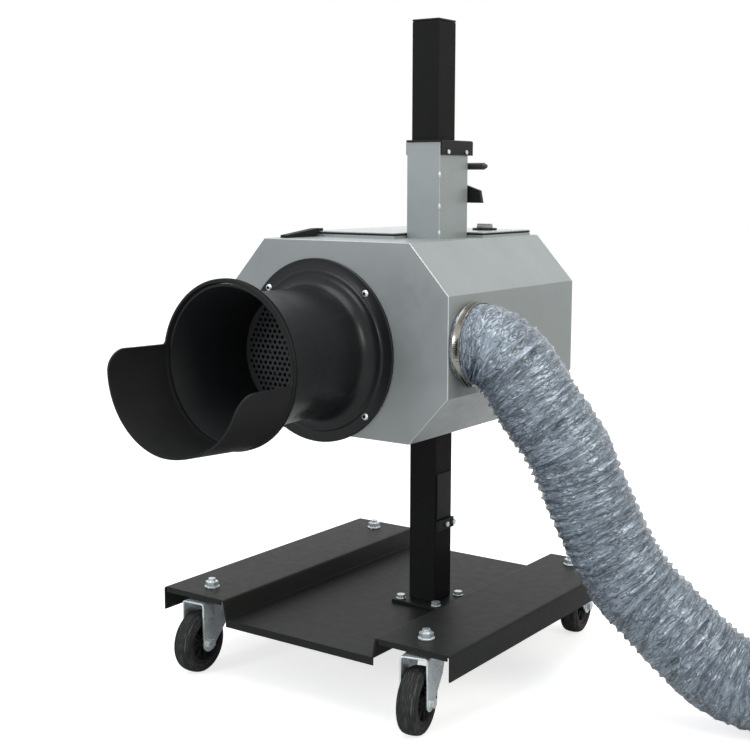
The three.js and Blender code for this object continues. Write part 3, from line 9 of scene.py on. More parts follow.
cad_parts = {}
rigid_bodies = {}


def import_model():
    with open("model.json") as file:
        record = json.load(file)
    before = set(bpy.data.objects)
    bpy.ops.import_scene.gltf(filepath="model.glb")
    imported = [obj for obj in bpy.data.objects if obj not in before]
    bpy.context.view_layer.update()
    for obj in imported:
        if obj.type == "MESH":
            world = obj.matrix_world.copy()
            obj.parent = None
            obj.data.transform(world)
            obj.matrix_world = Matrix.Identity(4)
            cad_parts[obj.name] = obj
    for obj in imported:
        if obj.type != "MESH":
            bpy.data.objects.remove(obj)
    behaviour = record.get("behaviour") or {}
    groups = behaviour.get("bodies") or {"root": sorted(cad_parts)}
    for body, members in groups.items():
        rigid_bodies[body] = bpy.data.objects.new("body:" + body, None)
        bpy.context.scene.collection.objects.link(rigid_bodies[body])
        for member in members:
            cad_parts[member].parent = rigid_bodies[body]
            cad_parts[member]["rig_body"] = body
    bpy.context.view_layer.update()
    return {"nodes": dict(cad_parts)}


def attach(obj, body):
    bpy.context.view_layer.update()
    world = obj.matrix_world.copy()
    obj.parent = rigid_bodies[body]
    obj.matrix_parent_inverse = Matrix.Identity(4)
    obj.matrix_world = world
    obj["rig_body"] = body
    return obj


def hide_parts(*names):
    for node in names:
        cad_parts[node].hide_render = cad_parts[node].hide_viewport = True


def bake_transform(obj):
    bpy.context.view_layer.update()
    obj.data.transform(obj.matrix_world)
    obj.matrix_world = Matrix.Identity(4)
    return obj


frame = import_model()
nodes = frame["nodes"]

# Sizes below are millimetres from the post axis on the floor, as in the part's source.
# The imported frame's origin lies under the middle of the rigid part instead.
OFFSET_X, OFFSET_Y = 66.0, 96.27


def at(x, y, z):
    return Vector(((x + OFFSET_X) / 1000, (y + OFFSET_Y) / 1000, z / 1000))


def linked(name, data):
    obj = bpy.data.objects.new(name, data)
    bpy.context.scene.collection.objects.link(obj)
    return obj


def smoothstep(share):
    return share * share * (3 - 2 * share)


# Camera, fitted to the photograph

CAMERA_PLACE = (1155.8, -1780.1, 797.8)
CAMERA_AZIMUTH, CAMERA_ELEVATION, CAMERA_ROLL = 35.14, 8.06, 0.15
SENSOR_WIDTH, FOCAL_LENGTH, FAR_CLIP = 36, 62.87, 50
LENS_SHIFT_X, LENS_SHIFT_Y = -0.01067, -0.01307


def place_camera():
    azimuth, elevation = math.radians(CAMERA_AZIMUTH), math.radians(CAMERA_ELEVATION)
    roll = math.radians(CAMERA_ROLL)
    back = Vector((math.sin(azimuth) * math.cos(elevation),
                   -math.cos(azimuth) * math.cos(elevation),
                   math.sin(elevation)))
    level = Vector((math.cos(azimuth), math.sin(azimuth), 0))
    upright = back.cross(level)
    right = level * math.cos(roll) + upright * math.sin(roll)
    up = upright * math.cos(roll) - level * math.sin(roll)
    data = bpy.data.cameras.new("camera")
    data.sensor_width = SENSOR_WIDTH
    data.lens = FOCAL_LENGTH
    data.shift_x, data.shift_y = LENS_SHIFT_X, LENS_SHIFT_Y
    data.clip_end = FAR_CLIP
    camera = linked("camera", data)
    turn = Matrix((right, up, back)).transposed().to_4x4()
    camera.matrix_world = Matrix.Translation(at(*CAMERA_PLACE)) @ turn
    bpy.context.scene.camera = camera


place_camera()

# Materials

DARK, LIGHT = (0, 0, 0), (1, 1, 1)


def colour(code):
    """Linear colour of a six-digit screen colour."""
    parts = [int(code[i:i + 2], 16) / 255 for i in (0, 2, 4)]
    return (*[c / 12.92 if c <= 0.04045 else ((c + 0.055) / 1.055) ** 2.4 for c in parts], 1.0)


class Graph:
    """A material's node tree, with one short call per node."""

    def __init__(self, name):
        self.material = bpy.data.materials.new(name)
        self.material.use_nodes = True
        self.tree = self.material.node_tree
        self.shader = self.tree.nodes["Principled BSDF"]

    def node(self, kind, **values):
        made = self.tree.nodes.new(kind)
        for key, value in values.items():
            if key in made.inputs.keys():
                made.inputs[key].default_value = value
            else:
                setattr(made, key, value)
        return made

    def link(self, source, target):
        self.tree.links.new(source, target)

    def shade(self, **values):
        """Shader inputs, each a socket or a plain value, with _ for a space in their names."""
        for key, value in values.items():
            target = self.shader.inputs[key.replace("_", " ")]
            if isinstance(value, bpy.types.NodeSocket):
                self.link(value, target)
            else:
                target.default_value = value

    def coords(self, scale=(1, 1, 1), attribute=None):
        if attribute:
            source = self.node("ShaderNodeAttribute", attribute_name=attribute).outputs["Vector"]
        else:
            source = self.node("ShaderNodeTexCoord").outputs["Object"]
        mapping = self.node("ShaderNodeMapping")
        mapping.inputs["Scale"].default_value = scale
        self.link(source, mapping.inputs["Vector"])
        return mapping.outputs["Vector"]

    def noise(self, vector, scale, detail=3.0, rough=0.5, distortion=0.0):
        made = self.node("ShaderNodeTexNoise", Scale=scale, Detail=detail, Roughness=rough,
                         Distortion=distortion)
        self.link(vector, made.inputs["Vector"])
        return made.outputs["Fac"]

    def cells(self, vector, scale, warp, warp_scale):
        """Cells with sharp creases between soft mounds, their places pushed about by a noise."""
        push = self.node("ShaderNodeTexNoise", Scale=warp_scale, Detail=2.0)
        self.link(vector, push.inputs["Vector"])
        sized = self.node("ShaderNodeVectorMath", operation="SCALE")
        sized.inputs["Scale"].default_value = warp
        self.link(push.outputs["Color"], sized.inputs[0])
        moved = self.node("ShaderNodeVectorMath", operation="ADD")
        self.link(vector, moved.inputs[0])
        self.link(sized.outputs[0], moved.inputs[1])
        made = self.node("ShaderNodeTexVoronoi", Scale=scale, feature="F1")
        self.link(moved.outputs[0], made.inputs["Vector"])
        return made.outputs["Distance"]

    def maths(self, operation, *terms):
        """One sum, each term a socket or a plain number."""
        made = self.node("ShaderNodeMath", operation=operation)
        for target, term in zip(made.inputs, terms):
            if isinstance(term, bpy.types.NodeSocket):
                self.link(term, target)
            else:
                target.default_value = term
        return made.outputs[0]

    def mixed(self, factor, first, second):
        """Colour between two, each a socket or a plain colour."""
        made = self.node("ShaderNodeMix", data_type="RGBA")
        for key, term in (("Factor", factor), ("A", first), ("B", second)):
            if isinstance(term, bpy.types.NodeSocket):
                self.link(term, made.inputs[key])
            else:
                made.inputs[key].default_value = term
        return made.outputs["Result"]

    def ramp(self, fac, *stops):
        """Colour ramp; each stop is a position and a grey triple or a colour code."""
        made = self.node("ShaderNodeValToRGB")
        elements = made.color_ramp.elements
        while len(elements) < len(stops):
            elements.new(0.5)
        for element, (position, value) in zip(elements, stops):
            element.position = position
            element.color = colour(value) if isinstance(value, str) else (*value, 1)
        self.link(fac, made.inputs["Fac"])
        return made.outputs["Color"]

    def span(self, fac, low, high, start=0.3, end=0.7):
        made = self.node("ShaderNodeMapRange")
        for key, value in (("From Min", start), ("From Max", end),
                           ("To Min", low), ("To Max", high)):
            made.inputs[key].default_value = value
        self.link(fac, made.inputs["Value"])
        return made.outputs["Result"]

    def bump(self, *heights):
        """Bumps laid over each other, each a height, a strength and a distance."""
        normal = None
        for height, strength, distance in heights:
            made = self.node("ShaderNodeBump", Strength=strength, Distance=distance)
            self.link(height, made.inputs["Height"])
            if normal is not None:
                self.link(normal, made.inputs["Normal"])
            normal = made.outputs["Normal"]
        self.shade(Normal=normal, Coat_Normal=normal)


def painted(name, base, shade, rough, metallic=0.0, specular=0.5, coat=0.0,
            grain=900, strength=0.05, spread=0.06):
    """Sprayed paint: fine orange peel, slow drift of tone and gloss."""
    g = Graph(name)
    place = g.coords()
    g.shade(Base_Color=g.ramp(g.noise(place, 7, 4), (0.3, base), (0.7, shade)),
            Roughness=g.span(g.noise(place, 60, 5), rough - spread, rough + spread),
            Metallic=metallic, Specular_IOR_Level=specular, Coat_Weight=coat, Coat_Roughness=0.25)
    g.bump((g.noise(place, grain, 2), strength, 0.0006))
    return g.material


def plated(name, base, shade, rough, stretch=(1, 1, 1), streak=300, strength=0.05, metallic=1.0):
    """Bright plated or rolled metal with faint streaks and stains."""
    g = Graph(name)
    streaked = g.coords(scale=stretch)
    g.shade(Base_Color=g.ramp(g.noise(g.coords(), 40, 5, 0.6), (0.35, base), (0.7, shade)),
            Roughness=g.span(g.noise(streaked, streak, 3), rough - 0.08, rough + 0.1),
            Metallic=metallic)
    g.bump((g.noise(streaked, streak * 1.5, 2), strength, 0.0004))
    return g.material


def moulded(name, base, shade, rough, specular=0.5, grain=1400, strength=0.12, spread=0.08):
    """Moulded plastic or rubber: fine grain, slight bloom."""
    g = Graph(name)
    place = g.coords()
    g.shade(Base_Color=g.ramp(g.noise(place, 14, 5, 0.55), (0.35, base), (0.75, shade)),
            Roughness=g.span(g.noise(place, 45, 5, 0.6), rough - spread, rough + spread),
            Specular_IOR_Level=specular)
    g.bump((g.noise(place, grain, 2), strength, 0.0004))
    return g.material


def duct_material():
    """Coated cloth: bluish grey, crumpled and shiny on its folds, with painted shade darkening its
    creases and painted glints on it.
    """
    g = Graph("duct_cloth")
    place, narrow, leaning, folds = (
        g.coords(attribute="duct_place", scale=(1, 1, along)) for along in (1, 2.6, 4, 6))
    fold = g.noise(folds, 30, 2.5, 0.45, 0.3)
    thin = g.ramp(fold, (0.465, DARK), (0.495, LIGHT), (0.52, DARK))
    wide = g.ramp(g.noise(leaning, 24, 3, 0.5, 0.5), (0.46, DARK), (0.487, LIGHT), (0.51, DARK))
    lines = g.maths("MAXIMUM", thin, wide)
    crease_shade = g.node("ShaderNodeAttribute", attribute_name="duct_crease_shade").outputs["Fac"]
    # painted shade: a darker cloth colour is mixed in along the creases and their thin lines
    painted_shade = g.maths("MAXIMUM", crease_shade, g.maths("MULTIPLY", lines, 0.95))
    cloth = g.ramp(g.noise(place, 11, 5, 0.6), (0.3, "828f9c"), (0.52, "7c8998"), (0.75, "8c9ba6"))
    # painted glints: pale specks and patches mixed into the cloth colour
    painted_glints = g.ramp(g.noise(leaning, 70, 2, 0.4, 1.6), (0.61, DARK), (0.67, LIGHT))
    shaded = g.ramp(fold, (0.3, "343c48"), (0.7, "4f5966"))
    g.shade(Base_Color=g.mixed(painted_shade, g.mixed(painted_glints, cloth, colour("b2c0cd")), shaded),
            Roughness=g.span(fold, 0.18, 0.34),
            Metallic=0.22, Coat_Weight=0.7, Coat_Roughness=0.13)
    g.bump((g.maths("SUBTRACT", 1.0, lines), 0.7, 0.0015),
           (fold, 0.9, 0.004),
           (g.cells(narrow, 62, 0.02, 50), 0.4, 0.005),
           (g.cells(narrow, 150, 0.01, 120), 0.25, 0.0015),
           (g.noise(place, 1500, 2), 0.05, 0.0003))
    return g.material


def tyre_material():
    """Used rubber with pale scuffs that run round the tyre."""
    g = Graph("tyre_rubber")
    place = g.coords(attribute="tyre_place")
    streak = g.noise(place, 700, 4, 0.6, 0.3)
    g.shade(Base_Color=g.ramp(streak, (0.4, "1c1d1e"), (0.55, "2a2b2c"), (0.72, "5c5e5e")),
            Roughness=g.span(g.noise(place, 70, 5), 0.55, 0.8), Specular_IOR_Level=0.2)
    g.bump((streak, 0.35, 0.0008), (g.noise(place, 1800, 2), 0.15, 0.0003))
    return g.material


SILVER = painted("silver_paint", "8c9294", "959b9c", 0.36, metallic=0.25, coat=0.15, grain=1100)
# A paler copy of the silver paint: painted highlight on panel rims, sleeve corners and weld beads
SILVER_HIGHLIGHT = painted("silver_edge_highlight", "c6cccd", "d2d7d8", 0.3, metallic=0.3, coat=0.2,
                      grain=1100, strength=0.03)
BLACK = painted("black_paint", "1c1e1d", "202221", 0.45, specular=0.14, strength=0.012, spread=0.03)
POST_BLACK = painted("post_paint", "1b1c1b", "1f2020", 0.5, specular=0.05,
                     grain=1300, strength=0.03, spread=0.05)
ZINC = plated("zinc", "e0e7eb", "c6cfd5", 0.3, streak=60, strength=0.01, metallic=0.75)
STEEL = plated("polished_steel", "a3a198", "8d8b83", 0.2, stretch=(1, 8, 8), streak=160)
FAN = plated("fan_sheet", "a8acaf", "8e9396", 0.38)
CASTING = moulded("motor_casting", "6c7176", "83888c", 0.5, grain=500, strength=0.3)
TYRE = tyre_material()
PLASTIC = moulded("black_plastic", "18191a", "1e2021", 0.45, specular=0.2)
MOULDING = moulded("black_moulding", "18191b", "1c1e20", 0.3, specular=0.26,
                   grain=900, strength=0.02, spread=0.03)
# A paler copy of the moulding for its inward faces: painted light that lifts the shade in the
# throat and bore
BORE_LIT = moulded("bore_moulding_lit", "202224", "252729", 0.5, specular=0.2,
               grain=900, strength=0.03, spread=0.03)
GRILLE = painted("grille_paint", "454748", "4b4d4e", 0.5, specular=0.2, strength=0.02)
BAR = moulded("bar_finish", "333434", "3e4040", 0.35, specular=0.35, grain=900, strength=0.04)
# A paler copy of the silver paint for the lid: painted light for the brightly lit top
LID_LIT = painted("lid_paint_lit", "9ea4a5", "a5abab", 0.3, metallic=0.2, coat=0.7,
              grain=700, strength=0.01)
RUBBER = moulded("hood_rubber", "1c1d1d", "202121", 0.5, specular=0.13,
                 grain=1100, strength=0.06, spread=0.05)
GREY = moulded("grey_plastic", "8b908f", "9a9f9d", 0.45)
NYLON = moulded("nylon", "d5d3c9", "c4c1b4", 0.4)
DUCT = duct_material()

# Mesh helpers: seams are distances in metres within which points merge, flats are in degrees

SEAM = 1e-7
NODE_SEAM, NODE_FLAT = 1e-6, 0.4


def made_object(name, verts, faces, material):
    mesh = bpy.data.meshes.new(name)
    mesh.from_pydata([tuple(v) for v in verts], [], [tuple(f) for f in faces])
    mesh.validate()
    mesh.update()
    mesh.materials.append(material)
    return linked(name, mesh)


def cleaned(obj, seam=SEAM, flat=None):
    """Merges doubles, joins neighbours within a flat angle if it is given, turns normals out."""
    bm = bmesh.new()
    bm.from_mesh(obj.data)
    bmesh.ops.remove_doubles(bm, verts=bm.verts, dist=seam)
    if flat is not None:
        bmesh.ops.dissolve_limit(bm, angle_limit=math.radians(flat),
                                 verts=bm.verts, edges=bm.edges)
        bmesh.ops.triangulate(bm, faces=[face for face in bm.faces if len(face.verts) > 4])
    bmesh.ops.recalc_face_normals(bm, faces=bm.faces)
    bm.to_mesh(obj.data)
    bm.free()
    return obj


def applied(obj):
    """The mesh as its modifiers leave it, with none left."""
    bpy.context.view_layer.update()
    graph = bpy.context.evaluated_depsgraph_get()
    result = bpy.data.meshes.new_from_object(obj.evaluated_get(graph))
    old = obj.data
    obj.modifiers.clear()
    obj.data = result
    result.name = obj.name
    bpy.data.meshes.remove(old)
    return obj


def settle(obj, sharp=30):
    """Shades smooth between sharp edges."""
    obj.data.shade_smooth()
    obj.data.set_sharp_from_angle(angle=math.radians(sharp))
    return obj


def bevelled(obj, width, segments=2, angle=28):
    """Rounded edges, with the flat faces still shaded flat."""
    obj.data.shade_smooth()
    rounding = obj.modifiers.new("rounding", "BEVEL")
    rounding.width = width / 1000
    rounding.segments = segments
    rounding.limit_method = "ANGLE"
    rounding.angle_limit = math.radians(angle)
    rounding.miter_outer = "MITER_ARC"
    weighting = obj.modifiers.new("weighting", "WEIGHTED_NORMAL")
    weighting.mode = "FACE_AREA"
    weighting.weight = 100
    return applied(obj)


def dressed(obj, material):
    """The object in one material alone."""
    obj.data.materials.clear()
    obj.data.materials.append(material)
    return obj


def second_material(obj, material, chosen):
    """A second material on the faces whose normal and middle pass the test."""
    obj.data.materials.append(material)
    for face in obj.data.polygons:
        if chosen(face.normal, face.center):
            face.material_index = len(obj.data.materials) - 1
    return obj


def stand_for(obj, node):
    """The object takes a CAD node's place on its body, and the node is hidden."""
    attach(obj, nodes[node]["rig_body"])
    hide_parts(node)
    return obj


def refined(node, material, width, segments=2):
    """The CAD node's own shape with rounded edges, standing for it."""
    obj = dressed(linked(f"{node}_fine", nodes[node].data.copy()), material)
    cleaned(obj, NODE_SEAM, NODE_FLAT)
    bevelled(obj, width, segments)
    return stand_for(obj, node)


def axis_frame(axis):
    """Columns: two directions across the axis, then the axis."""
    return {
        "X": Matrix(((0, 0, 1), (1, 0, 0), (0, 1, 0))),
        "Y": Matrix(((1, 0, 0), (0, 0, 1), (0, 1, 0))),
        "Z": Matrix.Identity(3),
    }[axis]


def about(basis, radius, angle, along):
    """A point about an axis, in metres."""
    return basis @ Vector((radius * math.cos(angle), radius * math.sin(angle), along)) / 1000


def turned(name, profile, centre, axis, material, segments=96, closed=True, sharp=30, turn=None):
    """A profile of (radius, distance along the axis), spun about an axis through centre."""
    basis = axis_frame(axis)
    verts, faces = [], []
    count = len(profile)
    for step in range(segments):
        angle = 2 * math.pi * step / segments
        verts += [about(basis, radius, angle, along) for radius, along in profile]
        following = (step + 1) % segments
        for place in range(count if closed else count - 1):
            ahead = (place + 1) % count
            faces.append((step * count + place, following * count + place,
                          following * count + ahead, step * count + ahead))
    obj = cleaned(made_object(name, verts, faces, material))
    if turn is not None:
        obj.data.transform(turn.to_4x4())
    obj.data.transform(Matrix.Translation(centre))
    return settle(obj, sharp)


def prism(name, outline, low, high, axis, material, holes=()):
    """An outline across an axis, filled and drawn out from low to high."""
    basis = axis_frame(axis)
    bm = bmesh.new()
    for loop in (outline, *holes):
        ring = [bm.verts.new(basis @ Vector((a, b, low)) / 1000) for a, b in loop]
        for first, second in zip(ring, ring[1:] + ring[:1]):
            bm.edges.new((first, second))
    bmesh.ops.triangle_fill(bm, use_beauty=True, use_dissolve=False, edges=bm.edges)
    drawn = bmesh.ops.extrude_face_region(bm, geom=bm.faces)["geom"]
    bmesh.ops.translate(bm, vec=basis @ Vector((0, 0, high - low)) / 1000,
                        verts=[v for v in drawn if isinstance(v, bmesh.types.BMVert)])
    bmesh.ops.recalc_face_normals(bm, faces=bm.faces)
    mesh = bpy.data.meshes.new(name)
    bm.to_mesh(mesh)
    bm.free()
    mesh.materials.append(material)
    return linked(name, mesh)


def combined(name, objects):
    """Several meshes as one piece."""
    bm = bmesh.new()
    for obj in objects:
        obj.data.transform(obj.matrix_world)
        bm.from_mesh(obj.data)
    mesh = bpy.data.meshes.new(name)
    for material in objects[0].data.materials:
        mesh.materials.append(material)
    bm.to_mesh(mesh)
    bm.free()
    for obj in objects:
        bpy.data.objects.remove(obj)
    return linked(name, mesh)


def within(obj, tool):
    """What the object shares with a tool, which is used up."""
    step = obj.modifiers.new("cut", "BOOLEAN")
    step.operation = "INTERSECT"
    step.solver = "EXACT"
    step.object = tool
    applied(obj)
    bpy.data.objects.remove(tool)
    return obj


def circle(radius, steps, x=0.0, y=0.0):
    angles = [2 * math.pi * k / steps for k in range(steps)]
    return [(x + radius * math.cos(a), y + radius * math.sin(a)) for a in angles]


def arc(x, y, radius, start, end, steps):
    """Points from one angle to another in degrees."""
    angles = [math.radians(start + (end - start) * k / steps) for k in range(steps + 1)]
    return [(x + radius * math.cos(a), y + radius * math.sin(a)) for a in angles]


def mirrored(half):
    """Half a wheel's profile and its mirror image along the axle."""
    return half + [(r, -a) for r, a in reversed(half)]


# Exhaust duct

OUTLET_Y, OUTLET_Z = -107, 553
ROUTE = [
    (140, OUTLET_Y, OUTLET_Z), (150, OUTLET_Y, OUTLET_Z), (161, OUTLET_Y, OUTLET_Z),
    (174, -106.6, 550.6), (189, -105, 543.6), (204, -103, 532.5), (215, -100.5, 519.5),
    (226, -97.5, 503), (238, -93.5, 484), (252, -88, 461), (270, -80, 433), (290, -71.5, 398),
    (309, -62, 350), (330, -53, 300), (352, -44.5, 254), (381, -35.5, 208), (424, -22.5, 162),
    (459, -12, 127), (491, -2.5, 99), (524, 7.5, 79), (556, 18, 70), (590, 30, 67.8),
    (625, 46, 67.5), (657, 67, 67.5), (701, 120, 67.5), (725, 185, 67.5), (725, 255, 67.5),
    (701, 320, 67.5), (657, 373, 67.5), (627.6, 390.1, 67.5), (579.3, 418.3, 67.5),
    (523.1, 451.1, 67.5),
]
SPAN_POINTS = 60
CREST_RADIUS, CUFF_RADIUS, LIP_RADIUS, BORE_RADIUS = 65.2, 62.3, 60.6, 60.0
VALLEY_DEPTH = 2.9
OPEN_PITCH, CLOSED_PITCH = 14.5, 9.0
OPEN_LENGTH, CUFF = 760.0, 17.0
OPEN_STEP, CLOSED_STEP = 0.95, 0.9
POINTS_AROUND = 120
TANGENT_REACH = 8
STRAIGHT_START, TURN_AWAY = 5, 34
EXTRA_TURNS, EXTRA_REACH = 2.2, 55
GATHER_REACH = 34
# the bore's last value is the painted shade inside the duct's open end
BORE_DEPTH_RINGS, BORE_RING_STEP, BORE_PAINTED_SHADE = 190, 12, 0.55
LOWEST_CLOTH = 2.6


def smooth_route(points):
    """Centripetal spline through the points."""
    p = np.array(points, float)
    p = np.vstack([2 * p[0] - p[1], p, 2 * p[-1] - p[-2]])
    line = []
    for i in range(1, len(p) - 2):
        a, b, c, d = p[i - 1:i + 3]
        t0 = 0.0
        t1 = t0 + np.linalg.norm(b - a) ** 0.5
        t2 = t1 + np.linalg.norm(c - b) ** 0.5
        t3 = t2 + np.linalg.norm(d - c) ** 0.5
        t = np.linspace(t1, t2, SPAN_POINTS, endpoint=i == len(p) - 3)[:, None]
        q1 = (t1 - t) / (t1 - t0) * a + (t - t0) / (t1 - t0) * b
        q2 = (t2 - t) / (t2 - t1) * b + (t - t1) / (t2 - t1) * c
        q3 = (t3 - t) / (t3 - t2) * c + (t - t2) / (t3 - t2) * d
        r1 = (t2 - t) / (t2 - t0) * q1 + (t - t0) / (t2 - t0) * q2
        r2 = (t3 - t) / (t3 - t1) * q2 + (t - t1) / (t3 - t1) * q3
        line.append((t2 - t) / (t2 - t1) * r1 + (t - t1) / (t2 - t1) * r2)
    return np.vstack(line)


def duct_run():
    """Distances along the duct, and its centre and direction at each."""
    line = smooth_route(ROUTE)
    gaps = np.linalg.norm(np.diff(line, axis=0), axis=1)
    run = np.concatenate([[0], np.cumsum(gaps)])
    length = run[-1]
    stops = np.concatenate([np.arange(0, OPEN_LENGTH, OPEN_STEP),
                            np.arange(OPEN_LENGTH, length, CLOSED_STEP), [length]])
    centre = np.column_stack([np.interp(stops, run, line[:, k]) for k in range(3)])
    window = 2 * TANGENT_REACH + 1

    def averaged(values):
        padded = np.pad(values, TANGENT_REACH, mode="edge")
        return np.convolve(padded, np.ones(window) / window, "valid")

    tangent = np.apply_along_axis(averaged, 0, np.gradient(centre, stops, axis=0))
    # the cuff points straight out of the wall, and the cloth turns away from it gradually
    free = smoothstep(np.clip((stops - STRAIGHT_START) / TURN_AWAY, 0, 1))[:, None]
    tangent = tangent * free + np.array((1.0, 0, 0)) * (1 - free)
    tangent /= np.linalg.norm(tangent, axis=1)[:, None]
    return stops, centre, tangent


def outward_directions(tangent, around):
    """Directions from the centre line to each point of each ring, carried along untwisted."""
    sides = []
    side = np.array((0.0, 0.0, 1.0))
    for t in tangent:
        side = side - side.dot(t) * t
        side /= np.linalg.norm(side)
        sides.append(side)
    sides = np.array(sides)
    across = np.cross(tangent, sides)
    return (np.cos(around)[None, :, None] * sides[:, None]
            + np.sin(around)[None, :, None] * across[:, None])


def tube_noise(rng, along, around, rows, columns, lean=0):
    """Smooth random field over the tube, whose cells climb lean rows in one turn."""
    grid = rng.standard_normal((rows + 2 * lean + 4, columns))
    v = around / (2 * math.pi) * columns
    j = np.floor(v).astype(int)
    u = along[:, None] / along.max() * rows + lean * (1 - v[None] / columns)
    i = np.floor(u).astype(int)
    fu, fv = smoothstep(u - i), smoothstep((v - j)[None])
    j = j[None] + np.zeros_like(i)
    following = (j + 1) % columns
    climb = np.where(j + 1 == columns, lean, 0)
    near = grid[i, j] * (1 - fu) + grid[i + 1, j] * fu
    far = grid[i + climb, following] * (1 - fu) + grid[i + 1 + climb, following] * fu
    return near * (1 - fv) + far * fv


def duct_surface(stops, around, toward):
    """The cloth's radius at each point of each ring, and how much painted shade darkens its creases
    there.
    """
    rng = np.random.default_rng(7)

    def field(rows, columns, lean=0, angles=around):
        return tube_noise(rng, stops, angles, rows, columns, lean)

    # wire turns: a helix whose pitch shortens by the clamp and where the duct is drawn together
    turns = np.where(stops < OPEN_LENGTH, stops / OPEN_PITCH,
                     OPEN_LENGTH / OPEN_PITCH + (stops - OPEN_LENGTH) / CLOSED_PITCH)
    turns = turns + EXTRA_TURNS * (1 - np.exp(-stops / EXTRA_REACH))
    phase = turns[:, None] - around[None] / (2 * math.pi) + 0.13 * field(60, 7)
    valley = np.abs(np.sin(math.pi * phase)) ** 0.75
    by_clamp = (1 + 0.7 * np.exp(-stops / 70))[:, None]
    sag = VALLEY_DEPTH * (1 + 0.3 * field(90, 9)) * by_clamp * valley
    # the cloth's own folds lean across the wire turns, long and narrow, with sharp crests
    back = (2 * math.pi - around) % (2 * math.pi)
    fold = np.abs(field(300, 12, 24)) * 0.75
    fold += np.abs(field(240, 10, 12, back)) * 0.45
    fold += np.abs(field(560, 22, 40)) * 0.4
    fine = field(520, 40) * 0.2
    lump = 0.45 * field(110, 12)
    radius = CREST_RADIUS - sag - fold * (0.45 + 0.75 * valley) + fine + lump
    # gathers that start at the clamp and run along the cloth
    gather = np.abs(field(22, 34)) * 0.7 + np.abs(field(40, 60)) * 0.3
    radius -= gather * np.exp(-np.clip(stops - CUFF, 0, None) / GATHER_REACH)[:, None]
    # plain cuffs under the clamp and at the open end
    ease = np.clip((stops - CUFF) / 10, 0, 1) * np.clip((stops[-1] - CUFF - stops) / 8, 0, 1)
    ease = smoothstep(ease)[:, None]
    ridge = 1.1 * np.exp(-((stops - 2.6) / 1.7) ** 2)[:, None]
    radius = ease * radius + (1 - ease) * (CUFF_RADIUS + ridge + 0.12 * fine)
    # inner side of a bend gathers, the outer side is drawn smooth
    radius = radius - ease * np.clip(toward * 350, -1.2, 1.6) * valley
    # painted shade: the creases are darkened by how deep they are
    deepness = np.clip((sag * 0.8 + fold * 1.6 - 2.1) / 2.8, 0, 1) * ease
    return radius, deepness ** 1.3 * 0.75


def make_duct():
    stops, centre, tangent = duct_run()
    length = stops[-1]
    around = np.linspace(0, 2 * math.pi, POINTS_AROUND, endpoint=False)
    outward = outward_directions(tangent, around)
    toward = np.einsum("ij,ikj->ik", np.gradient(tangent, stops, axis=0), outward)
    radius, shade_amount = duct_surface(stops, around, toward)
    ring = centre[:, None] + radius[..., None] * outward
    ring[..., 2] = np.maximum(ring[..., 2], LOWEST_CLOTH)
    # the open end turns in to a bore that can be seen into
    count = len(stops)
    lip = centre[-1] + LIP_RADIUS * outward[-1]
    deep = [centre[k] + BORE_RADIUS * outward[k]
            for k in range(count - 2, count - BORE_DEPTH_RINGS, -BORE_RING_STEP)]
    offset = (OFFSET_X, OFFSET_Y, 0)
    verts = (np.vstack([ring.reshape(-1, 3), lip, *deep]) + offset) / 1000
    levels = count + 1 + len(deep)
    faces = []
    for level in range(levels - 1):
        for step in range(POINTS_AROUND):
            a = level * POINTS_AROUND + step
            b = level * POINTS_AROUND + (step + 1) % POINTS_AROUND
            faces.append((a, b, b + POINTS_AROUND, a + POINTS_AROUND))
    obj = made_object("exhaust_duct_cloth", verts, faces, DUCT)
    obj.data.shade_smooth()
    # the material reads its place on the straightened duct, and how much painted shade darkens its
    # creases and its bore
    outside = count * POINTS_AROUND
    place = np.zeros((levels * POINTS_AROUND, 3))
    place[:, 0] = np.tile(np.cos(around) * CREST_RADIUS, levels) / 1000
    place[:, 1] = np.tile(np.sin(around) * CREST_RADIUS, levels) / 1000
    place[:outside, 2] = np.repeat(stops, POINTS_AROUND) / 1000
    place[outside:, 2] = length / 1000
    crease_shade = np.full(levels * POINTS_AROUND, BORE_PAINTED_SHADE)
    crease_shade[:outside] = shade_amount.ravel()
    held = obj.data.attributes.new("duct_place", "FLOAT_VECTOR", "POINT")
    held.data.foreach_set("vector", place.ravel())
    held = obj.data.attributes.new("duct_crease_shade", "FLOAT", "POINT")
    held.data.foreach_set("value", crease_shade)
    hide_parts("exhaust_duct")
    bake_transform(obj)


make_duct()

# Floor and light

FLOOR_REACH, FLOOR_GREY, FLOOR_GLOW = 12, 0.71, 0.7
WORLD_TINT, WORLD_LIGHT, WORLD_SEEN = (0.97, 0.985, 1, 1), 0.62, 1.0
LAMP_TARGET = (0, 0, 0.6)


def make_floor():
    """White to the camera, and pale grey in what it throws back."""
    g = Graph("floor_paint")
    seen = g.node("ShaderNodeLightPath").outputs["Is Camera Ray"]
    g.shade(Base_Color=(FLOOR_GREY, FLOOR_GREY, FLOOR_GREY, 1), Roughness=0.9,
            Specular_IOR_Level=0.1, Emission_Color=(1, 1, 1, 1),
            Emission_Strength=g.maths("MULTIPLY", seen, FLOOR_GLOW))
    corners = [(-1, -1), (1, -1), (1, 1), (-1, 1)]
    verts = [(x * FLOOR_REACH, y * FLOOR_REACH, 0) for x, y in corners]
    made_object("floor", verts, [(0, 1, 2, 3)], g.material)


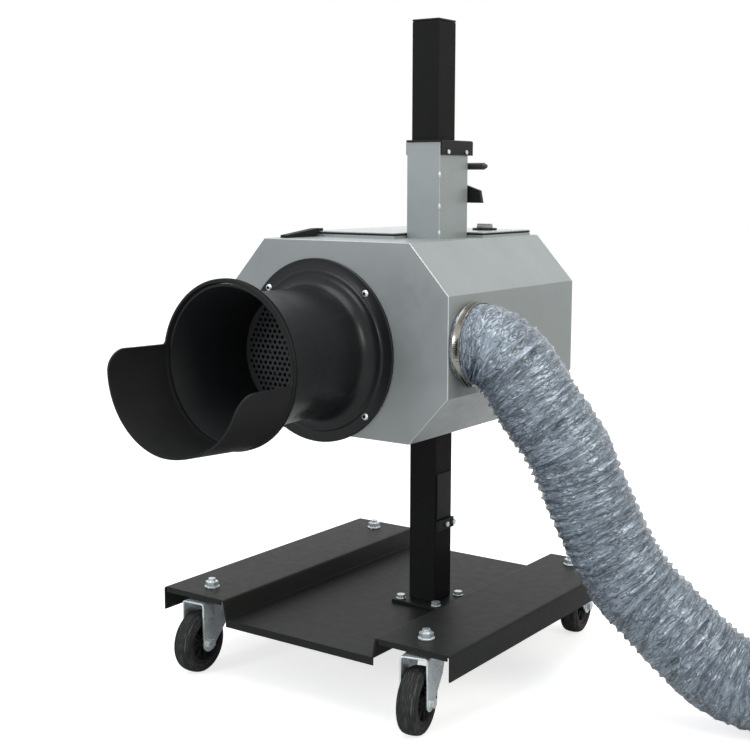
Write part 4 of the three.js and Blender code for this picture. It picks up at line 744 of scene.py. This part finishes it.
def make_world():
    """White to the camera and in reflections, dimmer as light."""
    world = bpy.data.worlds.new("studio")
    bpy.context.scene.world = world
    world.use_nodes = True
    tree = world.node_tree
    plain = tree.nodes["Background"]
    plain.inputs["Color"].default_value = WORLD_TINT
    plain.inputs["Strength"].default_value = WORLD_LIGHT
    bright = tree.nodes.new("ShaderNodeBackground")
    bright.inputs["Color"].default_value = (1, 1, 1, 1)
    bright.inputs["Strength"].default_value = WORLD_SEEN
    path = tree.nodes.new("ShaderNodeLightPath")
    seen = path.outputs["Is Camera Ray"]
    for other in ("Is Glossy Ray", "Is Transmission Ray"):
        either = tree.nodes.new("ShaderNodeMath")
        either.operation = "MAXIMUM"
        tree.links.new(seen, either.inputs[0])
        tree.links.new(path.outputs[other], either.inputs[1])
        seen = either.outputs[0]
    mix = tree.nodes.new("ShaderNodeMixShader")
    tree.links.new(seen, mix.inputs["Fac"])
    tree.links.new(plain.outputs[0], mix.inputs[1])
    tree.links.new(bright.outputs[0], mix.inputs[2])
    tree.links.new(mix.outputs[0], tree.nodes["World Output"].inputs["Surface"])


def lamp(name, place, size, power, tint=(1, 1, 1)):
    data = bpy.data.lights.new(name, "AREA")
    data.shape = "RECTANGLE"
    data.size, data.size_y = size
    data.energy = power
    data.color = tint
    obj = linked(name, data)
    obj.location = place
    ahead = Vector(LAMP_TARGET) - Vector(place)
    obj.rotation_euler = ahead.to_track_quat("-Z", "Y").to_euler()


make_floor()
make_world()
lamp("top_light", (0.3, -0.2, 3.4), (2.6, 2.6), 62)
lamp("right_light", (3.2, -0.6, 1.9), (1.1, 1.5), 36, (1, 0.985, 0.8))
lamp("front_light", (-1.0, -3.6, 1.6), (0.9, 0.9), 31, (0.95, 0.98, 1))

bpy.context.scene.view_settings.view_transform = "Standard"

# Castors: where each stands, and which way it trails in degrees

CASTORS = {"front_left": (-277.5, -232.4, 4), "front_right": (145.5, -232.4, 12),
           "rear_left": (-277.5, 227.6, 165), "rear_right": (145.5, 227.6, 188)}
CASTOR_TRAIL, WHEEL_RADIUS = 36, 50
TYRE_PROFILE = mirrored([
    (33.3, 14.4), (34.4, 15.2), (36.6, 15.4), (37, 14.9), (37.8, 14.9), (38.2, 15.5),
    (40.5, 15.7), (41.4, 16), (43.2, 15.4), (45.2, 14.4), (45.3, 13.6), (46.2, 13.2),
    (46.6, 13.5), (48.3, 11.4), (49.1, 9.2), (48.5, 8.9), (48.5, 8.1), (49.4, 7.8), (50, 3.4),
])
HUB_PROFILE = mirrored([
    (5.3, 18), (10.8, 18), (11.8, 17), (12.2, 12), (14, 6.4), (17, 5), (24, 5), (27, 6.6),
    (28.6, 12.6), (29.4, 13.4), (33, 13.4),
])
HUB_RIBS = 8
RIB_START, RIB_END, RIB_HALF_WIDTH, RIB_HALF_DEPTH = 11, 28.6, 1.2, 11.4
SCUFF_RING = 0.004


def make_castor(name, x, y, degrees):
    turn = Matrix.Rotation(math.radians(degrees), 3, "Z")
    centre = at(x, y, WHEEL_RADIUS) + turn @ Vector((0, -CASTOR_TRAIL / 1000, 0))
    tyre = turned(f"tyre_{name}", TYRE_PROFILE, centre, "X", TYRE, 96, sharp=38, turn=turn)
    # the scuffs' noise is read on a narrow ring, so that it is drawn out round the tyre
    place = []
    for vertex in tyre.data.vertices:
        local = turn.transposed() @ (vertex.co - centre)
        reach = math.hypot(local.y, local.z)
        place += [local.x, reach + SCUFF_RING * local.y / reach, SCUFF_RING * local.z / reach]
    held = tyre.data.attributes.new("tyre_place", "FLOAT_VECTOR", "POINT")
    held.data.foreach_set("vector", place)
    stand_for(tyre, f"castor_tyre_{name}")
    hub = turned(f"hub_{name}", HUB_PROFILE, centre, "X", PLASTIC, 72, sharp=38, turn=turn)
    outline = [(RIB_START, -RIB_HALF_WIDTH), (RIB_END, -RIB_HALF_WIDTH),
               (RIB_END, RIB_HALF_WIDTH), (RIB_START, RIB_HALF_WIDTH)]
    ribs = []
    for k in range(HUB_RIBS):
        rib = prism("rib", outline, -RIB_HALF_DEPTH, RIB_HALF_DEPTH, "Z", PLASTIC)
        for step in (Matrix.Rotation(k * 2 * math.pi / HUB_RIBS, 4, "Z"),
                     axis_frame("X").to_4x4(), turn.to_4x4(), Matrix.Translation(centre)):
            rib.data.transform(step)
        ribs.append(settle(rib))
    stand_for(combined(f"wheel_centre_{name}", [hub, *ribs]), f"castor_hub_{name}")
    refined(f"castor_fork_{name}", ZINC, 0.7)
    refined(f"castor_mount_{name}", ZINC, 0.5)


for castor, placing in CASTORS.items():
    make_castor(castor, *placing)

# Trolley and post

for row in (("base_tray", BLACK, 0.7), ("post", POST_BLACK, 1.6, 3), ("post_cap", PLASTIC, 0.9),
            ("post_foot_plate", BLACK, 0.6), ("stop_plate", BLACK, 0.3),
            ("stop_block", BLACK, 0.5)):
    refined(*row)
for k in range(1, 5):
    refined(f"foot_bolt_{k}", ZINC, 0.4)
for k in (1, 2):
    refined(f"stop_screw_{k}", ZINC, 0.5)

# Housing, sleeve and lid

WELD_RUNS = ((710, 719), (751, 761), (801, 811))
WELD_X, WELD_Y, WELD_RADIUS = 30.4, -27.9, 2.1
CAP_LEFT_SIDE = at(-31.2, 0, 0).x


def panel_rim(normal, middle):
    """Faces of a front or back panel that don't look straight ahead."""
    return abs(normal.y) < 0.97


def sleeve_corner(normal, middle):
    """Rounded upright corners of the sleeve's upper part."""
    return 0.3 < abs(normal.x) < 0.95 and middle.z > 0.6


# the last column picks the faces that take the pale paint, a painted edge highlight
for sheet, material, width, pale in (("housing_front", SILVER, 0.8, panel_rim),
                                     ("housing_wrap", SILVER, 0.6, None),
                                     ("housing_back", SILVER, 0.8, panel_rim),
                                     ("sleeve", SILVER, 1.5, sleeve_corner),
                                     ("lid", LID_LIT, 0.6, None)):
    piece = refined(sheet, material, width)
    if pale:
        second_material(piece, SILVER_HIGHLIGHT, pale)


def make_welds():
    """Short weld beads up the sleeve's front corner."""
    beads = []
    for k, (low, high) in enumerate(WELD_RUNS):
        half = (high - low) / 2
        profile = [(WELD_RADIUS * math.sin(a), -half * math.cos(a))
                   for a in np.linspace(0, math.pi, 13)]
        # the beads take the pale paint, a painted highlight
        beads.append(turned(f"bead_{k}", profile, at(WELD_X, WELD_Y, (low + high) / 2), "Z",
                            SILVER_HIGHLIGHT, 20, closed=False))
    welds = settle(combined("sleeve_welds", beads), 60)
    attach(welds, "carriage")


make_welds()
second_material(refined("sleeve_cap", BLACK, 0.5), SILVER,
                lambda normal, middle: middle.x < CAP_LEFT_SIDE and abs(normal.z) < 0.7)
for row in (("lid_gasket", RUBBER, 0.6), ("lid_strap", RUBBER, 0.7), ("clamp_bar", BAR, 0.9),
            ("clamp_wing", PLASTIC, 1.2, 3), ("switch_base", PLASTIC, 0.6),
            ("switch_knob", GREY, 0.7)):
    refined(*row)
for k in (1, 2):
    for hand in ("left", "right"):
        refined(f"cap_screw_{hand}_{k}", ZINC, 0.7, 3)
for node, material in (("slide_pad_lower", NYLON), ("slide_pad_upper", NYLON),
                       ("bulkhead", SILVER), ("motor", CASTING), ("impeller", FAN),
                       ("outlet_spigot", ZINC)):
    dressed(nodes[node], material)

# Inlet: profiles of (radius, distance along the fan's axis)

FAN_X, FAN_Z = -102.0, 532.0
FLANGE_BACK = -170.9
FLANGE_PROFILE = [(145, FLANGE_BACK), (145, -173.9), (144, -174.9), (129, -174.9),
                  (127.4, -175.5), (126, -178.0), (124.6, -178.4)]
FILLET_RADIUS = 22
THROAT_RADIUS, THROAT_WALL, FLARE_START, FLARE_LENGTH, FLARE_GROWTH = 101, 4, -289.6, 90, 17.5
FLARE_STEPS = 12
SCREW_CIRCLE, SCREW_SEAT, SCREW_RADIUS, SCREW_HEIGHT = 134, -175.2, 5.8, 3.6


def make_inlet():
    flare = [(THROAT_RADIUS + FLARE_GROWTH * (k / FLARE_STEPS) ** 1.35,
              FLARE_START - FLARE_LENGTH * k / FLARE_STEPS) for k in range(FLARE_STEPS + 1)]
    bore = [(r - THROAT_WALL, a) for r, a in reversed(flare)]
    fillet = arc(THROAT_RADIUS + FILLET_RADIUS, FLANGE_PROFILE[-1][1] - FILLET_RADIUS,
                 FILLET_RADIUS, 90, 180, 14)
    lip = (flare[-1][0] - 2, flare[-1][1] - 0.6)
    profile = [*FLANGE_PROFILE, *fillet, *flare, lip, *bore,
               (THROAT_RADIUS - THROAT_WALL, FLANGE_BACK)]
    axis = at(FAN_X, 0, FAN_Z)
    inlet = turned("inlet_moulding", profile, axis, "Y", MOULDING, 160, sharp=42)

    def inward(normal, middle):
        return (middle - Vector((axis.x, middle.y, axis.z))).dot(normal) < -0.01

    # inward faces take the paler moulding, painted light inside the bore
    second_material(inlet, BORE_LIT, inward)
    stand_for(inlet, "inlet_flange")


def screw_head(name, centre):
    """A domed head on the flange, with a socket in it and its seat at centre."""
    dome = [(SCREW_RADIUS * math.cos(a), SCREW_HEIGHT * math.sin(a))
            for a in np.linspace(0, math.pi / 2 * 0.82, 7)]
    socket = [(SCREW_RADIUS * 0.42, SCREW_HEIGHT * 0.97),
              (SCREW_RADIUS * 0.36, SCREW_HEIGHT * 0.45), (0.0, SCREW_HEIGHT * 0.4)]
    profile = [(r, -a) for r, a in ((0.0, 0.0), *dome, *socket)]
    head = turned(name, profile, centre, "Y", ZINC, 32, closed=False, sharp=35)
    reach = SCREW_RADIUS * 0.43 / 1000

    # the socket's faces take the black plastic, a painted shade in the recess
    def socket_shade(normal, middle):
        away = middle - centre
        return max(abs(away.x), abs(away.z)) < reach and away.length < reach + SCREW_HEIGHT / 1000

    return second_material(head, PLASTIC, socket_shade)


def make_flange_screws():
    reach = SCREW_CIRCLE * math.sqrt(0.5)
    for k, (across, up) in enumerate(((1, 1), (1, -1), (-1, -1), (-1, 1)), 1):
        seat = at(FAN_X + across * reach, SCREW_SEAT, FAN_Z + up * reach)
        stand_for(screw_head(f"flange_screw_head_{k}", seat), f"flange_screw_{k}")


# Grille

GRILLE_RADIUS, GRILLE_FRONT, GRILLE_BACK = 96.7, -229.6, -227.6
GRILLE_PITCH, GRILLE_HOLE, GRILLE_FIELD = 9.6, 3.0, 91


def make_grille():
    row = GRILLE_PITCH * math.sin(math.pi / 3)
    rows, columns = 10, 11
    holes = []
    for j in range(-rows, rows + 1):
        shift = GRILLE_PITCH / 2 if j % 2 else 0
        for i in range(-columns, columns + 1):
            x, z = i * GRILLE_PITCH + shift, j * row
            if math.hypot(x, z) + GRILLE_HOLE < GRILLE_FIELD:
                holes.append(circle(GRILLE_HOLE, 12, FAN_X + x, FAN_Z + z))
    sheet = prism("intake_grille", circle(GRILLE_RADIUS, 96, FAN_X, FAN_Z),
                  GRILLE_FRONT, GRILLE_BACK, "Y", GRILLE, holes)
    sheet.data.transform(Matrix.Translation(at(0, 0, 0)))
    stand_for(settle(sheet), "grille")


# Hood, drawn upright on the fan's axis and then swung

HOOD_INNER, HOOD_OUTER = 118.65, 123.8
HOOD_BACK, HOOD_MOUTH, HOOD_FRONT = -371.6, -385.6, -505.3
RING_WALL, SCOOP_TAPER, SCOOP_WALL = 3.5, 6.7, 3.5
SEAT_START, SEAT_END = -383.4, -379.9
BEAD_HEIGHT, BEAD_HALF_WIDTH = 2, 1.5
CORNER_RADIUS, ROOT_RADIUS = 31.0, 5.0
HOOD_REACH, TOOL_REACH = 119, 160
TOOL_STATIONS = [-TOOL_REACH, -110, -60, 0, 20, 40, 60, 85, TOOL_REACH]
SCOOP_TOP, SCOOP_TOP_FALL, SCOOP_LIFT, SCOOP_LIFT_FALL = 7.1, 8.4, 4.2, 6.4
TIP_SETBACK, SETBACK_REACH = 16.5, 85
CUT_SEAM, CUT_FLAT = 2e-6, 0.1
SWING = Matrix.Rotation(math.radians(7.6), 3, "Y")


def ring_bead(along):
    """A bead round the hood's ring that starts at this distance and runs forward."""
    return [(HOOD_OUTER + BEAD_HEIGHT * math.sin(t),
             along - BEAD_HALF_WIDTH + BEAD_HALF_WIDTH * math.cos(t))
            for t in np.linspace(0, math.pi, 7)]


def scoop_side(x):
    """Outline in (y, z) of what is kept of the hood, at a distance x right of its middle."""
    # the right side of the scoop is cut a little lower and shorter than the left
    share = (x + HOOD_REACH) / (2 * HOOD_REACH)
    top = SCOOP_TOP - SCOOP_TOP_FALL * share
    lift = SCOOP_LIFT - SCOOP_LIFT_FALL * share
    tip = HOOD_FRONT + TIP_SETBACK * smoothstep(min(max(x / SETBACK_REACH, 0), 1))
    return [(HOOD_BACK + 20, -TOOL_REACH), (HOOD_BACK + 20, TOOL_REACH), (HOOD_MOUTH, TOOL_REACH),
            *arc(HOOD_MOUTH - ROOT_RADIUS, top + ROOT_RADIUS, ROOT_RADIUS, 0, -90, 6),
            *arc(tip + CORNER_RADIUS, top + lift - CORNER_RADIUS, CORNER_RADIUS, 90, 180, 24),
            (tip, -TOOL_REACH)]


def make_hood():
    profile = [(HOOD_INNER, HOOD_BACK), (HOOD_OUTER - 0.8, HOOD_BACK),
               (HOOD_OUTER, HOOD_BACK - 0.8),
               *ring_bead(HOOD_BACK - 3), *ring_bead(HOOD_BACK - 9), (HOOD_OUTER, HOOD_MOUTH),
               (HOOD_OUTER - SCOOP_TAPER, HOOD_FRONT),
               (HOOD_OUTER - SCOOP_TAPER - SCOOP_WALL, HOOD_FRONT),
               (HOOD_OUTER - RING_WALL, HOOD_MOUTH), (HOOD_OUTER - RING_WALL, SEAT_START),
               (HOOD_INNER, SEAT_END)]
    shell = turned("intake_hood", profile, Vector(), "Y", RUBBER, 192, sharp=40)
    verts, faces = [], []
    for x in TOOL_STATIONS:
        verts += [(x / 1000, y / 1000, z / 1000) for y, z in scoop_side(x)]
    count = len(verts) // len(TOOL_STATIONS)
    for station in range(len(TOOL_STATIONS) - 1):
        for k in range(count):
            a, b = station * count + k, station * count + (k + 1) % count
            faces += [(a, b, b + count), (a, b + count, a + count)]
    faces += [tuple(range(count)), tuple(len(verts) - 1 - k for k in range(count))]
    tool = cleaned(made_object("hood_side", verts, faces, RUBBER))
    hood = bevelled(cleaned(within(shell, tool), CUT_SEAM, CUT_FLAT), 0.9, 3, 40)
    hood.data.transform(SWING.to_4x4())
    hood.data.transform(Matrix.Translation(at(FAN_X, 0, FAN_Z)))
    stand_for(hood, "hood")


make_inlet()
make_flange_screws()
make_grille()
make_hood()

# Duct clamp

CLAMP_START, CLAMP_END, CLAMP_INNER = 145.4, 157.2, 63.5
SLOT_COUNT, SLOT_PITCH = 9, 2.6


def hoop(name, inner, outer, start, end, first, last, centre, material, steps=90):
    """Part of a band about the X axis, from one angle to another in degrees."""
    basis = axis_frame("X")
    corners = ((inner, start), (outer - 0.2, start), (outer, start + 0.3),
               (outer, end - 0.3), (outer - 0.2, end), (inner, end))
    verts, faces = [], []
    count = len(corners)
    for k in range(steps + 1):
        angle = math.radians(first + (last - first) * k / steps)
        verts += [centre + about(basis, r, angle, a) for r, a in corners]
    for k in range(steps):
        for c in range(count):
            n = (c + 1) % count
            faces.append((k * count + c, k * count + n,
                          (k + 1) * count + n, (k + 1) * count + c))
    faces += [tuple(range(count)), tuple(steps * count + c for c in reversed(range(count)))]
    return settle(cleaned(made_object(name, verts, faces, material)), 35)


def make_clamp():
    start, end, inner = CLAMP_START, CLAMP_END, CLAMP_INNER
    centre = at(0, OUTLET_Y, OUTLET_Z)
    rim = [(inner, start), (inner + 1.0, start - 0.1), (inner + 1.5, start + 0.5),
           (inner + 1.2, start + 1.4), (inner + 1.2, end - 1.4), (inner + 1.5, end - 0.5),
           (inner + 1.0, end + 0.1), (inner, end)]
    band = turned("clamp_band", rim, centre, "X", STEEL, 128, sharp=40)
    # the slots are thin black strips set into the band: painted shade standing for the holes
    slot_shades = combined("clamp_slot_shades", [
        hoop("slot", inner + 0.9, inner + 1.3, start + 2, end - 2,
             170 + SLOT_PITCH * k, 171 + SLOT_PITCH * k, centre, BLACK, 2)
        for k in range(SLOT_COUNT)])
    tail = hoop("clamp_tail", inner + 1.25, inner + 1.95, start + 0.9, end - 0.9, 196, 352,
                centre, STEEL)
    outline = [(64.4, -9.5), (64.4, 9.5), (69.6, 9.5), (72.4, 6.2), (72.4, -6.2), (69.6, -9.5)]
    housing = prism("clamp_worm_housing", outline, start + 0.4, end - 0.4, "X", STEEL)
    housing.data.transform(Matrix.Translation(centre))
    bevelled(cleaned(housing), 0.9, 3)
    shank = [(0, -12), (2.6, -12), (3.3, -11.2), (3.3, 9.4),
             (4.6, 9.6), (4.6, 12.6), (3.9, 13.4), (0, 13.4)]
    worm = turned("clamp_worm", shank, centre + Vector((0, 0.0688, 0)), "Z", ZINC, 6,
                  closed=False, sharp=20)
    for obj in (band, tail, slot_shades, housing, worm):
        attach(obj, "carriage")
        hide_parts("duct_clamp")


make_clamp()
